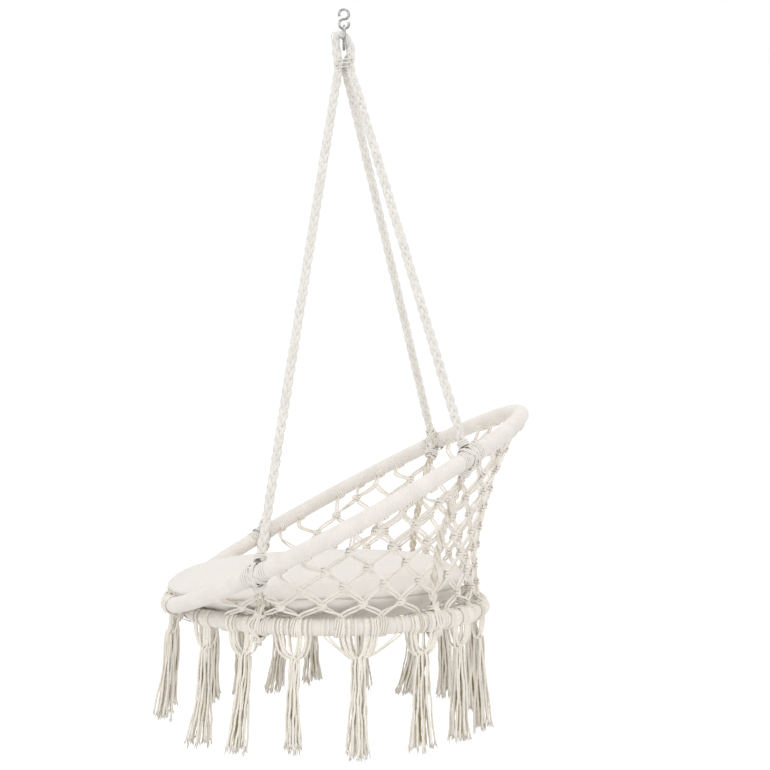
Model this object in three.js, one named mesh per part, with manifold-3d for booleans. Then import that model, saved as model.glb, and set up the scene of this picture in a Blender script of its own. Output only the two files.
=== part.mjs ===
// Hammock chair: two steel hoops wrapped in cotton cord, a knotted cord net between and across
// them, a round cushion, two ropes doubled over a steel ring, and the S-hook that it hangs by.
// Millimetres, +Z up. The sitter faces -X, with the left hand towards -Y.
// The origin is the point inside the S-hook's upper bight that a ceiling hook bears on.

import * as THREE from "three";
import { mergeVertices } from "three/addons/utils/BufferGeometryUtils.js";
import Module from "manifold-3d";

const wasm = await Module();
wasm.setup();

const DEG = Math.PI / 180;
const TURN = 2 * Math.PI;
const GAP = 0.35; // left between pieces that touch

// Hoops
const SEAT_RADIUS = 285; // to the middle of the tube, 600 across over the wrap
const BACK_RADIUS = 385; // 800 across over the wrap
const TUBE_RADIUS = 12.5;
const TUBE_WALL = 1.5;
const WRAP_RADIUS = 15.5;
const HOOP_STEP = 10; // degrees from one station of a hoop to the next
const TUBE_SIDES = 6;
const WRAP_SIDES = 10;
const SEAT_X = -20; // the seat hoop's centre from the origin
const SEAT_Z = -1157;
const BACK_TILT = 28.2; // degrees that the back hoop rises towards the rear
const FRONT_OUT = 31; // the back hoop's front lies this far before the seat hoop's
const FRONT_UP = 9; // and this far above it

// Azimuths in degrees, from the rear, where the ropes' knots sit on both hoops
const REAR_KNOT = 52.5;
const FRONT_KNOT = 120;
const WRAP_ENDS = [-50, 50, 120, 240, 310]; // the wrap's joints, each under a knot

// Hanging hardware
const HOOK_WIRE = 2.5; // radius
const HOOK_BEND = 9.5; // to the middle of the wire
const HOOK_SIDES = 8;
const RING_WIRE = 2.5;
const RING_BEND = 22.5;

// Ropes and lashings
const ROPE_RADIUS = 7.5;
const ROPE_SIDES = 10;
const ROPE_BEND = 13.4; // where a rope turns over the ring
const ROPE_SPREAD = 7.8; // from the middle of a lashed rope to the middle of the bundle
const LASH_TOP = 17; // below the middle of the ring's lower wire
const LASH_LENGTH = 22;
const LASH_CORD = 1.6;
const LASH_LOOPS = 5;
const LASH_SPARE = 1.4; // the lashing's straight steps cut its corners
const BIND_CORD = 2; // the cord that binds the hoops together at the front
const BIND_LOOPS = 4;
const BIND_AZIMUTHS = [159, 178, 200];
const BIND_SPARE = 2.9; // the hoops run a little askew of each other inside a binding
const LOOP_STEPS = 12;
const LOOP_SIDES = 5;
const LOOP_GAP = 0.7; // between one turn and the next

// Knots and the braids that run on from them down the net
const KNOT_HALF = 29; // along the hoop
const KNOT_RADIUS = 24;
const NECK_REACH = 44; // from the hoop's middle to where the rope goes in
const BRAID_RADIUS = 8.5;
const BRAID_REACH = 38;
const SEAT_KNOT_HALF = 24;
const SEAT_KNOT_RADIUS = 22;
const SEAT_KNOT_REACH = 31;

// Net
const COLUMNS = 24; // diamonds round the seat hoop
const ROW_FOOT = 21; // height of the lowest row of knots over the middle of the hoop
const ROW_START = 8;
const ROW_HEIGHT = 38;
const WAIST = 33; // how far the net draws in at the rear
const LEG_HALF_WIDTH = 4.2;
const LEG_HALF_THICKNESS = 2.6;
const KNOT_SWELL = 1.7;
const SEAT_NET_PITCH = 74;
const SEAT_NET_SAG = 13;
const SEAT_NET_DROP = 7; // its edge below the middle of the hoop
const SHORTEST_LEG = 14;
const KNOT_ROOM = 8; // from a net's knot to the nearest hoop, braid or rope knot
const FOOT_KNOT_ROOM = 5; // the lowest row ties right onto the hoop's wrap
const BRAID_ROOM = 1.5; // added to a braid's and a rope knot's radius before the legs reach them
const ROPE_KNOT_ROOM = 2.5;

// Tassels
const LEFT_TASSELS = [-15, -38, -58, -83, -106, -126, -148];
const RIGHT_TASSELS = [13, 36, 53, 76, 98, 112.5, 130, 147];
const FRONT_TASSELS = [-174, 171.5]; // on the back hoop, which lies outermost there
const TASSEL_KNOT_DROP = 46; // below the middle of the hoop
const TASSEL_END_DROP = 230;
const TASSEL_ARM_SPREAD = 30;
const TASSEL_ARM_RADIUS = 4.5;
const TASSEL_KNOT_RADIUS = 11;
const TASSEL_TOP_RADIUS = 9;
const TASSEL_END_RADIUS = 15;
const TASSEL_LOBES = 5;

// Cushion
const CUSHION_X = -33.5; // its middle from the seat hoop's middle
const CUSHION_RADIUS = 284;
const CUSHION_TOP = 84.5;
const CUSHION_SEAM = 51;
const CUSHION_BOTTOM = -13;
const CUSHION_TILT = 2.7; // degrees, its rear rides up the net and its front lies on the hoops
const CUSHION_FACETS = 32;

const BACK_X = BACK_RADIUS * Math.cos(BACK_TILT * DEG) - SEAT_RADIUS - FRONT_OUT;
const BACK_Z = BACK_RADIUS * Math.sin(BACK_TILT * DEG) + FRONT_UP;
const HOOK_LOWER_Z = HOOK_WIRE - HOOK_BEND * 3;
const RING_Z = HOOK_LOWER_Z - HOOK_BEND + HOOK_WIRE + RING_WIRE + GAP - RING_BEND;
const RING_FOOT_Z = RING_Z - RING_BEND;
const LASH_TOP_Z = RING_FOOT_Z - LASH_TOP;
const LASH_FOOT_Z = LASH_TOP_Z - LASH_LENGTH;

const COTTON = { color: 0xe8e1d7, roughness: 0.95, metalness: 0 };
const NET_COTTON = { color: 0xddd4c6, roughness: 0.95, metalness: 0 };
const FABRIC = { color: 0xe9e5de, roughness: 0.9, metalness: 0 };
const STEEL = { color: 0xb4b5b8, roughness: 0.35, metalness: 1 };
const TUBE_STEEL = { color: 0x8d8f92, roughness: 0.5, metalness: 0.9 };

const vec = (x, y, z) => new THREE.Vector3(x, y, z);
const between = (a, b) => b.clone().sub(a).normalize();

// A route whose stations are the steps of what is swept along it.
class Route extends THREE.Curve {
  constructor(stations, tangents = null) {
    super();
    this.stations = stations;
    this.tangents = tangents ?? stations.map((_, i) => this.turnAt(i));
  }

  turnAt(i) {
    const here = this.stations[i];
    const before = this.stations[i - 1];
    const after = this.stations[i + 1];
    if (!before) return between(here, after);
    if (!after) return between(before, here);
    return between(before, here).add(between(here, after)).normalize();
  }

  getPoint(t, target = vec(0, 0, 0)) {
    return target.copy(this.stations[Math.round(t * (this.stations.length - 1))]);
  }

  getPointAt(t, target) {
    return this.getPoint(t, target);
  }

  getTangentAt(t, target = vec(0, 0, 0)) {
    return target.copy(this.tangents[Math.round(t * (this.stations.length - 1))]);
  }
}

function polygon(radius, sides) {
  const points = [];
  for (let i = 0; i < sides; i++) {
    const a = (i / sides) * TURN;
    points.push(new THREE.Vector2(radius * Math.cos(a), radius * Math.sin(a)));
  }
  return points;
}

function sweep(route, radius, sides, bore = 0, boreSides = sides) {
  const section = new THREE.Shape(polygon(radius, sides));
  if (bore) section.holes.push(new THREE.Path(polygon(bore, boreSides)));
  const steps = route.stations.length - 1;
  return new THREE.ExtrudeGeometry(section, { steps, extrudePath: route });
}

function solidOf(geometry) {
  const bare = geometry.clone();
  bare.deleteAttribute("normal");
  bare.deleteAttribute("uv");
  const merged = mergeVertices(bare, 1e-4);
  const vertProperties = merged.attributes.position.array;
  const triVerts = new Uint32Array(merged.index.array);
  return new wasm.Manifold(new wasm.Mesh({ numProp: 3, vertProperties, triVerts }));
}

function geometryOf(solid) {
  const mesh = solid.getMesh();
  const geometry = new THREE.BufferGeometry();
  geometry.setAttribute("position", new THREE.BufferAttribute(mesh.vertProperties, 3));
  geometry.setIndex(new THREE.BufferAttribute(mesh.triVerts, 1));
  geometry.computeVertexNormals();
  return geometry;
}

function join(geometries) {
  return geometries.map(solidOf).reduce((all, next) => all.add(next));
}

function addMesh(group, name, geometry, finish) {
  const mesh = new THREE.Mesh(geometry, new THREE.MeshStandardMaterial(finish));
  mesh.name = name;
  group.add(mesh);
  return mesh;
}

// Hoops: each is a ring of straight facets, so what meets a hoop is worked out from the facets.

function facetPoint(radius, azimuth) {
  const low = Math.floor(azimuth / HOOP_STEP) * HOOP_STEP;
  const share = (azimuth - low) / HOOP_STEP;
  const corner = (a) => vec(radius * Math.cos(a * DEG), radius * Math.sin(a * DEG), 0);
  return corner(low).lerp(corner(low + HOOP_STEP), share);
}

const backPlace = new THREE.Matrix4()
  .makeRotationY(-BACK_TILT * DEG)
  .setPosition(BACK_X, 0, BACK_Z);
const seatPlace = new THREE.Matrix4();
const seatPoint = (azimuth) => facetPoint(SEAT_RADIUS, azimuth);
const backPoint = (azimuth) => facetPoint(BACK_RADIUS, azimuth).applyMatrix4(backPlace);
const roundTangent = (azimuth) => vec(-Math.sin(azimuth * DEG), Math.cos(azimuth * DEG), 0);

// A route along a hoop in its own plane, with a little left off at each end.
function hoopRoute(radius, from, to, trim) {
  const stations = [];
  const tangents = [];
  const spare = trim / radius / DEG;
  for (let a = from; a <= to + 1e-6; a += HOOP_STEP) {
    const place = Math.min(Math.max(a, from + spare), to - spare);
    stations.push(facetPoint(radius, place));
    tangents.push(roundTangent(a));
  }
  return new Route(stations, tangents);
}

function hoopTube(radius) {
  const route = hoopRoute(radius, -180, 180, GAP);
  return sweep(route, TUBE_RADIUS, TUBE_SIDES, TUBE_RADIUS - TUBE_WALL);
}

function hoopWrap(radius, from, to) {
  const route = hoopRoute(radius, from, to, GAP);
  return sweep(route, WRAP_RADIUS, WRAP_SIDES, TUBE_RADIUS + GAP, TUBE_SIDES);
}

function addHoop(group, name, radius) {
  addMesh(group, name + "_hoop", hoopTube(radius), TUBE_STEEL);
  ["rear", "right", "front", "left"].forEach((side, i) => {
    const wrap = hoopWrap(radius, WRAP_ENDS[i], WRAP_ENDS[i + 1] ?? 360);
    addMesh(group, `${name}_wrap_${side}`, wrap, COTTON);
  });
}

// The net's surface: azimuth in degrees, height up from the middle of the seat hoop.

const spanAt = (azimuth) => seatPoint(azimuth).distanceTo(backPoint(azimuth));
const REAR_SPAN = spanAt(0);

function netPoint(azimuth, height) {
  const span = spanAt(azimuth);
  const t = height / span;
  const inward = ((WAIST * span) / REAR_SPAN) * 4 * t * (1 - t) * (1.25 - 0.5 * t);
  const out = vec(Math.cos(azimuth * DEG), Math.sin(azimuth * DEG), 0);
  return seatPoint(azimuth).lerp(backPoint(azimuth), t).addScaledVector(out, -inward);
}

// Braids: each runs down the net from a rope's knot on the back hoop to a knot on the seat hoop.

function braidStations(azimuth) {
  const reachOf = (height, hoop) => netPoint(azimuth, height).distanceTo(hoop);
  let foot = SEAT_KNOT_REACH;
  while (reachOf(foot, seatPoint(azimuth)) < SEAT_KNOT_REACH + GAP) foot += 0.5;
  let head = spanAt(azimuth) - BRAID_REACH;
  while (reachOf(head, backPoint(azimuth)) < BRAID_REACH + GAP) head -= 0.5;
  const count = Math.max(3, Math.ceil((head - foot) / 30));
  const stations = [];
  for (let i = 0; i <= count; i++) {
    stations.push(netPoint(azimuth, foot + ((head - foot) * i) / count));
  }
  return stations;
}

// Its ends are square to the necks of the two knots.
function braidRoute(azimuth) {
  const stations = braidStations(azimuth);
  const route = new Route(stations);
  route.tangents[0] = between(seatPoint(azimuth), stations[0]);
  route.tangents[stations.length - 1] = between(stations.at(-1), backPoint(azimuth));
  return route;
}

// What the net's legs have to stay clear of: lines with a thickness.

function hoopLine(pointAt) {
  const points = [];
  for (let a = -180; a <= 180; a += HOOP_STEP) points.push(pointAt(a));
  return points;
}

function knotLine(pointAt, azimuth, half, radius) {
  const middle = pointAt(azimuth);
  const along = between(pointAt(azimuth - 2), pointAt(azimuth + 2)).multiplyScalar(half - radius);
  return [middle.clone().sub(along), middle.clone().add(along)];
}

const CORNERS = [
  ["rear_left", -REAR_KNOT],
  ["rear_right", REAR_KNOT],
  ["front_left", -FRONT_KNOT],
  ["front_right", FRONT_KNOT],
];

function obstacles() {
  const list = [
    { line: hoopLine(seatPoint), radius: WRAP_RADIUS },
    { line: hoopLine(backPoint), radius: WRAP_RADIUS },
  ];
  for (const [, azimuth] of CORNERS) {
    const stations = braidStations(azimuth);
    const line = [seatPoint(azimuth), ...stations, backPoint(azimuth)];
    list.push({ line, radius: BRAID_RADIUS + BRAID_ROOM });
    const back = knotLine(backPoint, azimuth, KNOT_HALF, KNOT_RADIUS);
    list.push({ line: back, radius: KNOT_RADIUS + ROPE_KNOT_ROOM });
    const seat = knotLine(seatPoint, azimuth, SEAT_KNOT_HALF, SEAT_KNOT_RADIUS);
    list.push({ line: seat, radius: SEAT_KNOT_RADIUS + ROPE_KNOT_ROOM });
  }
  for (const azimuth of BIND_AZIMUTHS) {
    const thickness = 2 * BIND_CORD + BIND_SPARE;
    const line = knotLine(seatPoint, azimuth, BIND_LOOPS * BIND_CORD * 1.2, 0);
    list.push({ line, radius: WRAP_RADIUS + thickness });
  }
  return list;
}

const BLOCKS = obstacles();

function distanceToLine(point, line) {
  let least = Infinity;
  for (let i = 0; i + 1 < line.length; i++) {
    const stretch = new THREE.Line3(line[i], line[i + 1]);
    const near = stretch.closestPointToPoint(point, true, vec(0, 0, 0));
    least = Math.min(least, near.distanceTo(point));
  }
  return least;
}

function isClear(point, margin) {
  return BLOCKS.every((b) => distanceToLine(point, b.line) > b.radius + margin);
}

// A net is a graph of knots and legs on a surface. A leg has a rhombic section, and meets its
// neighbours at shared corners round each knot, so the whole net is one closed body.

class NetKnot {
  constructor(place, frame) {
    this.place = place;
    this.frame = frame;
    this.links = [];
  }

  angleTo(other) {
    const way = other.place.clone().sub(this.place);
    return Math.atan2(way.dot(this.frame.up), way.dot(this.frame.across));
  }

  corner(angle, reach) {
    return this.place
      .clone()
      .addScaledVector(this.frame.across, reach * Math.cos(angle))
      .addScaledVector(this.frame.up, reach * Math.sin(angle));
  }
}

function tie(a, b) {
  a.links.push({ to: b, angle: a.angleTo(b) });
  b.links.push({ to: a, angle: b.angleTo(a) });
}

// Each link's left and right corner, as the knot looks along it from outside.
function setCorners(knot) {
  knot.links.sort((a, b) => a.angle - b.angle);
  const count = knot.links.length;
  if (count === 1) {
    const [link] = knot.links;
    link.left = knot.corner(link.angle + Math.PI / 2, LEG_HALF_WIDTH);
    link.right = knot.corner(link.angle - Math.PI / 2, LEG_HALF_WIDTH);
    return;
  }
  knot.links.forEach((link, i) => {
    const next = knot.links[(i + 1) % count];
    const wide = (next.angle - link.angle + TURN) % TURN;
    const reach = LEG_HALF_WIDTH / Math.sin(Math.min(wide, Math.PI) / 2);
    link.left = knot.corner(link.angle + wide / 2, Math.min(reach, 3 * LEG_HALF_WIDTH));
    next.right = link.left;
  });
}

function netGeometry(knots) {
  const corners = [];
  const face = (...points) => points.forEach((p) => corners.push(p.x, p.y, p.z));
  const quad = (a, b, c, d) => {
    face(a, b, c);
    face(a, c, d);
  };
  for (const knot of knots) {
    setCorners(knot);
    const swell = LEG_HALF_THICKNESS * (knot.links.length > 1 ? KNOT_SWELL : 1);
    knot.outer = knot.place.clone().addScaledVector(knot.frame.out, swell);
    knot.inner = knot.place.clone().addScaledVector(knot.frame.out, -swell);
  }
  knots.forEach((knot, index) => {
    for (const link of knot.links) {
      const far = link.to;
      if (knots.indexOf(far) < index) continue;
      const back = far.links.find((l) => l.to === knot);
      quad(knot.outer, far.outer, back.right, link.left);
      quad(knot.outer, link.right, back.left, far.outer);
      quad(knot.inner, link.left, back.right, far.inner);
      quad(knot.inner, far.inner, back.left, link.right);
    }
    if (knot.links.length === 1) {
      const [{ left, right }] = knot.links;
      face(left, knot.inner, right);
      face(left, right, knot.outer);
    }
  });
  const geometry = new THREE.BufferGeometry();
  geometry.setAttribute("position", new THREE.Float32BufferAttribute(corners, 3));
  return mergeVertices(geometry, 1e-4);
}

// How far a leg can run from one place to another before it meets something, as a share.
function clearShare(from, to, frame) {
  const way = between(from, to);
  const aside = way.clone().cross(frame.out).normalize();
  const steps = 40;
  for (let i = 1; i <= steps; i++) {
    const middle = from.clone().lerp(to, i / steps);
    const edges = [
      middle,
      middle.clone().addScaledVector(aside, LEG_HALF_WIDTH),
      middle.clone().addScaledVector(aside, -LEG_HALF_WIDTH),
      middle.clone().addScaledVector(frame.out, LEG_HALF_THICKNESS),
      middle.clone().addScaledVector(frame.out, -LEG_HALF_THICKNESS),
    ];
    if (!edges.every((p) => isClear(p, GAP))) return (i - 1) / steps;
  }
  return 1;
}

function addLeg(knots, from, to) {
  const share = clearShare(from.place, to.place, from.frame);
  if (share === 1 && knots.includes(to)) {
    tie(from, to);
    return;
  }
  const end = from.place.clone().lerp(to.place, share);
  if (end.distanceTo(from.place) < SHORTEST_LEG) return;
  const loose = new NetKnot(end, from.frame);
  tie(from, loose);
  knots.push(loose);
}

// The largest set of knots that hang together.
function largestNet(knots) {
  const left = new Set(knots);
  let best = [];
  while (left.size) {
    const found = [left.values().next().value];
    left.delete(found[0]);
    for (const knot of found) {
      for (const { to } of knot.links) if (left.delete(to)) found.push(to);
    }
    if (found.length > best.length) best = found;
  }
  return best;
}

// Knots and legs on a grid of half columns and rows, with knots where both are odd or both even.
function latticeNet(columns, rows, knotAt) {
  const grid = new Map();
  const key = (column, row) => `${column},${row}`;
  for (let row = 0; row <= rows; row++) {
    for (const column of columns) {
      if ((column + row) % 2 === 0) grid.set(key(column, row), knotAt(column, row));
    }
  }
  const kept = [...grid.values()].filter((knot) => knot.kept);
  const knots = [...kept];
  for (const [name, knot] of grid) {
    const [column, row] = name.split(",").map(Number);
    for (const side of [-1, 1]) {
      const upper = grid.get(key(column + side, row + 1));
      if (!upper) continue;
      if (knot.kept) addLeg(knots, knot, upper);
      if (upper.kept && !(knot.kept && clearShare(knot.place, upper.place, knot.frame) === 1)) {
        addLeg(knots, upper, knot);
      }
    }
  }
  return netGeometry(largestNet(knots));
}

const HALF_COLUMN = 180 / COLUMNS; // degrees
const rowHeight = (row) => (row === 0 ? ROW_FOOT : ROW_START + ROW_HEIGHT * row);

function netFrame(azimuth, height) {
  const across = between(netPoint(azimuth - 1, height), netPoint(azimuth + 1, height));
  const rise = between(netPoint(azimuth, height - 2), netPoint(azimuth, height + 2));
  const out = across.clone().cross(rise).normalize();
  const up = out.clone().cross(across).normalize();
  return { across, up, out };
}

function panel(from, to) {
  const columns = [];
  const first = Math.ceil(from / HALF_COLUMN) - 1;
  const last = Math.floor(to / HALF_COLUMN) + 1;
  for (let column = first; column <= last; column++) columns.push(column);
  const rows = Math.ceil((REAR_SPAN - ROW_START) / ROW_HEIGHT);
  return latticeNet(columns, rows, (column, row) => {
    const azimuth = column * HALF_COLUMN;
    const height = rowHeight(row);
    const knot = new NetKnot(netPoint(azimuth, height), netFrame(azimuth, height));
    const inside = azimuth > from && azimuth < to && height < spanAt(azimuth);
    knot.kept = inside && isClear(knot.place, row === 0 ? FOOT_KNOT_ROOM : KNOT_ROOM);
    return knot;
  });
}

function seatNet() {
  const half = SEAT_NET_PITCH / 2;
  const reach = Math.ceil(SEAT_RADIUS / half);
  const columns = [];
  for (let column = -reach; column <= reach; column++) columns.push(column);
  const frame = { across: vec(1, 0, 0), up: vec(0, 1, 0), out: vec(0, 0, 1) };
  return latticeNet(columns, 2 * reach, (column, row) => {
    const x = column * half;
    const y = (row - reach) * half;
    const share = Math.min(1, Math.hypot(x, y) / SEAT_RADIUS);
    const knot = new NetKnot(vec(x, y, -SEAT_NET_SAG * (1 - share * share) - SEAT_NET_DROP), frame);
    knot.kept = Math.hypot(x, y) < SEAT_RADIUS - WRAP_RADIUS - SHORTEST_LEG;
    return knot;
  });
}

// A frustum from one place along a direction.
function neck(from, way, reach, wide, narrow) {
  const geometry = new THREE.CylinderGeometry(narrow, wide, reach, 7);
  geometry.translate(0, reach / 2, 0);
  geometry.applyQuaternion(new THREE.Quaternion().setFromUnitVectors(vec(0, 1, 0), way));
  return geometry.translate(from.x, from.y, from.z);
}

function lump(centre, along, half, radius) {
  const geometry = new THREE.SphereGeometry(1, 9, 6);
  geometry.scale(radius, half, radius);
  geometry.applyQuaternion(new THREE.Quaternion().setFromUnitVectors(vec(0, 1, 0), along));
  return geometry.translate(centre.x, centre.y, centre.z);
}

// What a wrapped hoop takes out of a knot tied round it.
function hoopCut(radius, place, azimuth) {
  const from = (Math.floor(azimuth / HOOP_STEP) - 1) * HOOP_STEP;
  const route = hoopRoute(radius, from, from + 3 * HOOP_STEP, 0);
  return solidOf(sweep(route, WRAP_RADIUS + GAP, WRAP_SIDES).applyMatrix4(place));
}

const ropeFoot = (side, end) => vec(
  ROPE_SPREAD * end - SEAT_X,
  ROPE_SPREAD * side,
  LASH_FOOT_Z - SEAT_Z,
);

function backKnot(azimuth) {
  const centre = backPoint(azimuth);
  const along = between(backPoint(azimuth - 2), backPoint(azimuth + 2));
  const end = Math.abs(azimuth) > 90 ? -1 : 1;
  const toRope = between(centre, ropeFoot(Math.sign(azimuth), end));
  const toBraid = between(centre, braidStations(azimuth).at(-1));
  const whole = join([
    lump(centre, along, KNOT_HALF, KNOT_RADIUS),
    neck(centre, toRope, NECK_REACH, KNOT_RADIUS * 0.8, ROPE_RADIUS + 1),
    neck(centre, toBraid, BRAID_REACH, KNOT_RADIUS * 0.8, BRAID_RADIUS + 1),
  ]);
  return geometryOf(whole.subtract(hoopCut(BACK_RADIUS, backPlace, azimuth)));
}

function seatKnot(azimuth) {
  const centre = seatPoint(azimuth);
  const toBraid = between(centre, braidStations(azimuth)[0]);
  const whole = join([
    lump(centre, roundTangent(azimuth), SEAT_KNOT_HALF, SEAT_KNOT_RADIUS),
    neck(centre, toBraid, SEAT_KNOT_REACH, SEAT_KNOT_RADIUS * 0.8, BRAID_RADIUS + 1),
  ]);
  return geometryOf(whole.subtract(hoopCut(SEAT_RADIUS, seatPlace, azimuth)));
}

// Tassels

function ringOf(centre, radius, lobed) {
  const points = [];
  const count = 2 * TASSEL_LOBES;
  for (let i = 0; i < count; i++) {
    const a = (i / count) * TURN;
    const r = radius * (lobed && i % 2 ? 0.72 : 1);
    points.push(vec(centre.x + r * Math.cos(a), centre.y + r * Math.sin(a), centre.z));
  }
  return points;
}

// A closed body through rings of points, from the lowest ring up.
function loft(rings) {
  const corners = [];
  const face = (a, b, c) => [a, b, c].forEach((p) => corners.push(p.x, p.y, p.z));
  const count = rings[0].length;
  const middle = (ring) => ring.reduce((sum, p) => sum.add(p), vec(0, 0, 0)).divideScalar(count);
  const foot = middle(rings[0]);
  const head = middle(rings.at(-1));
  for (let i = 0; i < count; i++) {
    const j = (i + 1) % count;
    face(foot, rings[0][j], rings[0][i]);
    face(head, rings.at(-1)[i], rings.at(-1)[j]);
    for (let k = 0; k + 1 < rings.length; k++) {
      face(rings[k][i], rings[k][j], rings[k + 1][j]);
      face(rings[k][i], rings[k + 1][j], rings[k + 1][i]);
    }
  }
  const geometry = new THREE.BufferGeometry();
  geometry.setAttribute("position", new THREE.Float32BufferAttribute(corners, 3));
  return geometry;
}

// Doubled round the seat hoop, or at the front round the back hoop.
function tassel(azimuth, cuts, pointAt = seatPoint, radius = SEAT_RADIUS) {
  const hoop = pointAt(azimuth);
  const knot = vec(hoop.x, hoop.y, hoop.z - TASSEL_KNOT_DROP);
  const arms = [-1, 1].map((side) => {
    const start = pointAt(azimuth + side * (TASSEL_ARM_SPREAD / radius / DEG));
    start.z -= WRAP_RADIUS + TASSEL_ARM_RADIUS;
    return sweep(new Route([knot, start]), TASSEL_ARM_RADIUS, 4);
  });
  const skirt = loft([
    ringOf(vec(knot.x, knot.y, hoop.z - TASSEL_END_DROP), TASSEL_END_RADIUS, true),
    ringOf(vec(knot.x, knot.y, hoop.z - TASSEL_END_DROP * 0.6), TASSEL_END_RADIUS * 0.85, true),
    ringOf(knot, TASSEL_TOP_RADIUS, false),
  ]);
  const ball = new THREE.SphereGeometry(TASSEL_KNOT_RADIUS, 7, 4).translate(...knot.toArray());
  return geometryOf(cuts.reduce((rest, cut) => rest.subtract(cut), join([...arms, skirt, ball])));
}

// Windings: one unbroken cord laid round a rounded outline, turn beside turn.

function outlinePoints(corners, radius) {
  const dense = [];
  corners.forEach((corner, i) => {
    const before = corners[(i + corners.length - 1) % corners.length];
    const after = corners[(i + 1) % corners.length];
    const start = Math.atan2(before.x - corner.x, corner.y - before.y);
    const end = Math.atan2(corner.x - after.x, after.y - corner.y);
    const turn = ((end - start + 2 * TURN) % TURN) || Math.PI;
    for (let k = 0; k <= 8; k++) {
      const a = start + (turn * k) / 8;
      dense.push(new THREE.Vector2(Math.cos(a), Math.sin(a)).multiplyScalar(radius).add(corner));
    }
  });
  const closed = [...dense, dense[0]];
  const lengths = closed.slice(1).map((p, i) => p.distanceTo(closed[i]));
  const whole = lengths.reduce((sum, l) => sum + l, 0);
  return (share) => {
    let left = (share % 1) * whole;
    let i = 0;
    while (left > lengths[i]) left -= lengths[i++];
    return closed[i].clone().lerp(closed[i + 1], left / lengths[i]);
  };
}

function winding(outline, loops, cord, frame) {
  const pitch = 2 * cord + LOOP_GAP;
  const stations = [];
  for (let i = 0; i <= loops * LOOP_STEPS; i++) {
    const flat = outline(i / LOOP_STEPS);
    const rise = (i / LOOP_STEPS - loops / 2) * pitch;
    stations.push(
      frame.centre
        .clone()
        .addScaledVector(frame.across, flat.x)
        .addScaledVector(frame.up, flat.y)
        .addScaledVector(frame.along, rise),
    );
  }
  return stations;
}

// The least gap between a winding's turns, measured on points along its middle.
function leastGap(stations, cord) {
  let least = Infinity;
  stations.forEach((a, i) => {
    for (let j = i + Math.ceil(LOOP_STEPS / 2); j + 1 < stations.length; j++) {
      const near = new THREE.Line3(stations[j], stations[j + 1]);
      const foot = near.closestPointToPoint(a, true, vec(0, 0, 0));
      least = Math.min(least, foot.distanceTo(a) - 2 * cord);
    }
  });
  return least;
}

function addWinding(group, name, stations, cord) {
  console.log(`${name}: least gap between turns ${leastGap(stations, cord).toFixed(2)} mm`);
  addMesh(group, name, sweep(new Route(stations), cord, LOOP_SIDES), NET_COTTON);
}

// Binds the two hoops together where they run side by side at the front.
function hoopBinding(azimuth) {
  const seat = seatPoint(azimuth);
  const beside = 180 - Math.asin(seat.y / BACK_RADIUS) / DEG;
  const back = backPoint(beside);
  const backAlong = between(backPoint(beside - 2), backPoint(beside + 2));
  const along = roundTangent(azimuth).add(backAlong).normalize();
  const across = back.clone().sub(seat);
  across.addScaledVector(along, -across.dot(along));
  const apart = across.length();
  across.normalize();
  const up = along.clone().cross(across).normalize();
  const corners = [new THREE.Vector2(-apart / 2, 0), new THREE.Vector2(apart / 2, 0)];
  const outline = outlinePoints(corners, WRAP_RADIUS + BIND_CORD + BIND_SPARE);
  const centre = seat.clone().lerp(back, 0.5);
  return winding(outline, BIND_LOOPS, BIND_CORD, { centre, across, up, along });
}

function ropeLashing() {
  const s = ROPE_SPREAD;
  const corners = [[-s, -s], [s, -s], [s, s], [-s, s]].map(([x, y]) => new THREE.Vector2(x, y));
  const outline = outlinePoints(corners, ROPE_RADIUS + LASH_CORD + LASH_SPARE);
  const centre = vec(0, 0, (LASH_TOP_Z + LASH_FOOT_Z) / 2);
  const frame = { centre, across: vec(1, 0, 0), up: vec(0, 1, 0), along: vec(0, 0, 1) };
  return winding(outline, LASH_LOOPS, LASH_CORD, frame);
}

// One rope: from the front knot up, over the ring's lower wire, and down to the rear knot.
function rope(side) {
  const y = ROPE_SPREAD * side;
  const toWorld = vec(SEAT_X, 0, SEAT_Z);
  const tail = (azimuth, end) => {
    const foot = ropeFoot(side, end);
    const centre = backPoint(azimuth * side);
    const start = centre.clone().addScaledVector(between(centre, foot), NECK_REACH + GAP);
    return [start, start.clone().lerp(foot, 0.5), foot].map((p) => p.add(toWorld));
  };
  const bend = [];
  for (let a = 180; a >= 0; a -= 22.5) {
    const x = ROPE_BEND * Math.cos(a * DEG);
    bend.push(vec(x, y, RING_FOOT_Z + ROPE_BEND * Math.sin(a * DEG)));
  }
  const neckIn = (x) => [
    vec(x * ROPE_SPREAD, y, LASH_TOP_Z),
    vec(x * (ROPE_SPREAD + ROPE_BEND) * 0.5, y, (LASH_TOP_Z + RING_FOOT_Z) / 2),
  ];
  const stations = [
    ...tail(FRONT_KNOT, -1),
    ...neckIn(-1),
    ...bend,
    ...neckIn(1).reverse(),
    ...tail(REAR_KNOT, 1).reverse(),
  ];
  return sweep(new Route(stations), ROPE_RADIUS, ROPE_SIDES);
}

function arcStations(centreZ, from, to, count) {
  const stations = [];
  for (let i = 0; i <= count; i++) {
    const a = (from + ((to - from) * i) / count) * DEG;
    stations.push(vec(HOOK_BEND * Math.cos(a), 0, centreZ + HOOK_BEND * Math.sin(a)));
  }
  return stations;
}

function hook() {
  const upperZ = HOOK_WIRE - HOOK_BEND;
  const upper = arcStations(upperZ, 205, -90, 13);
  const lower = arcStations(HOOK_LOWER_Z, 90, 385, 13).slice(1);
  return sweep(new Route([...upper, ...lower]), HOOK_WIRE, HOOK_SIDES);
}

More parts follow.
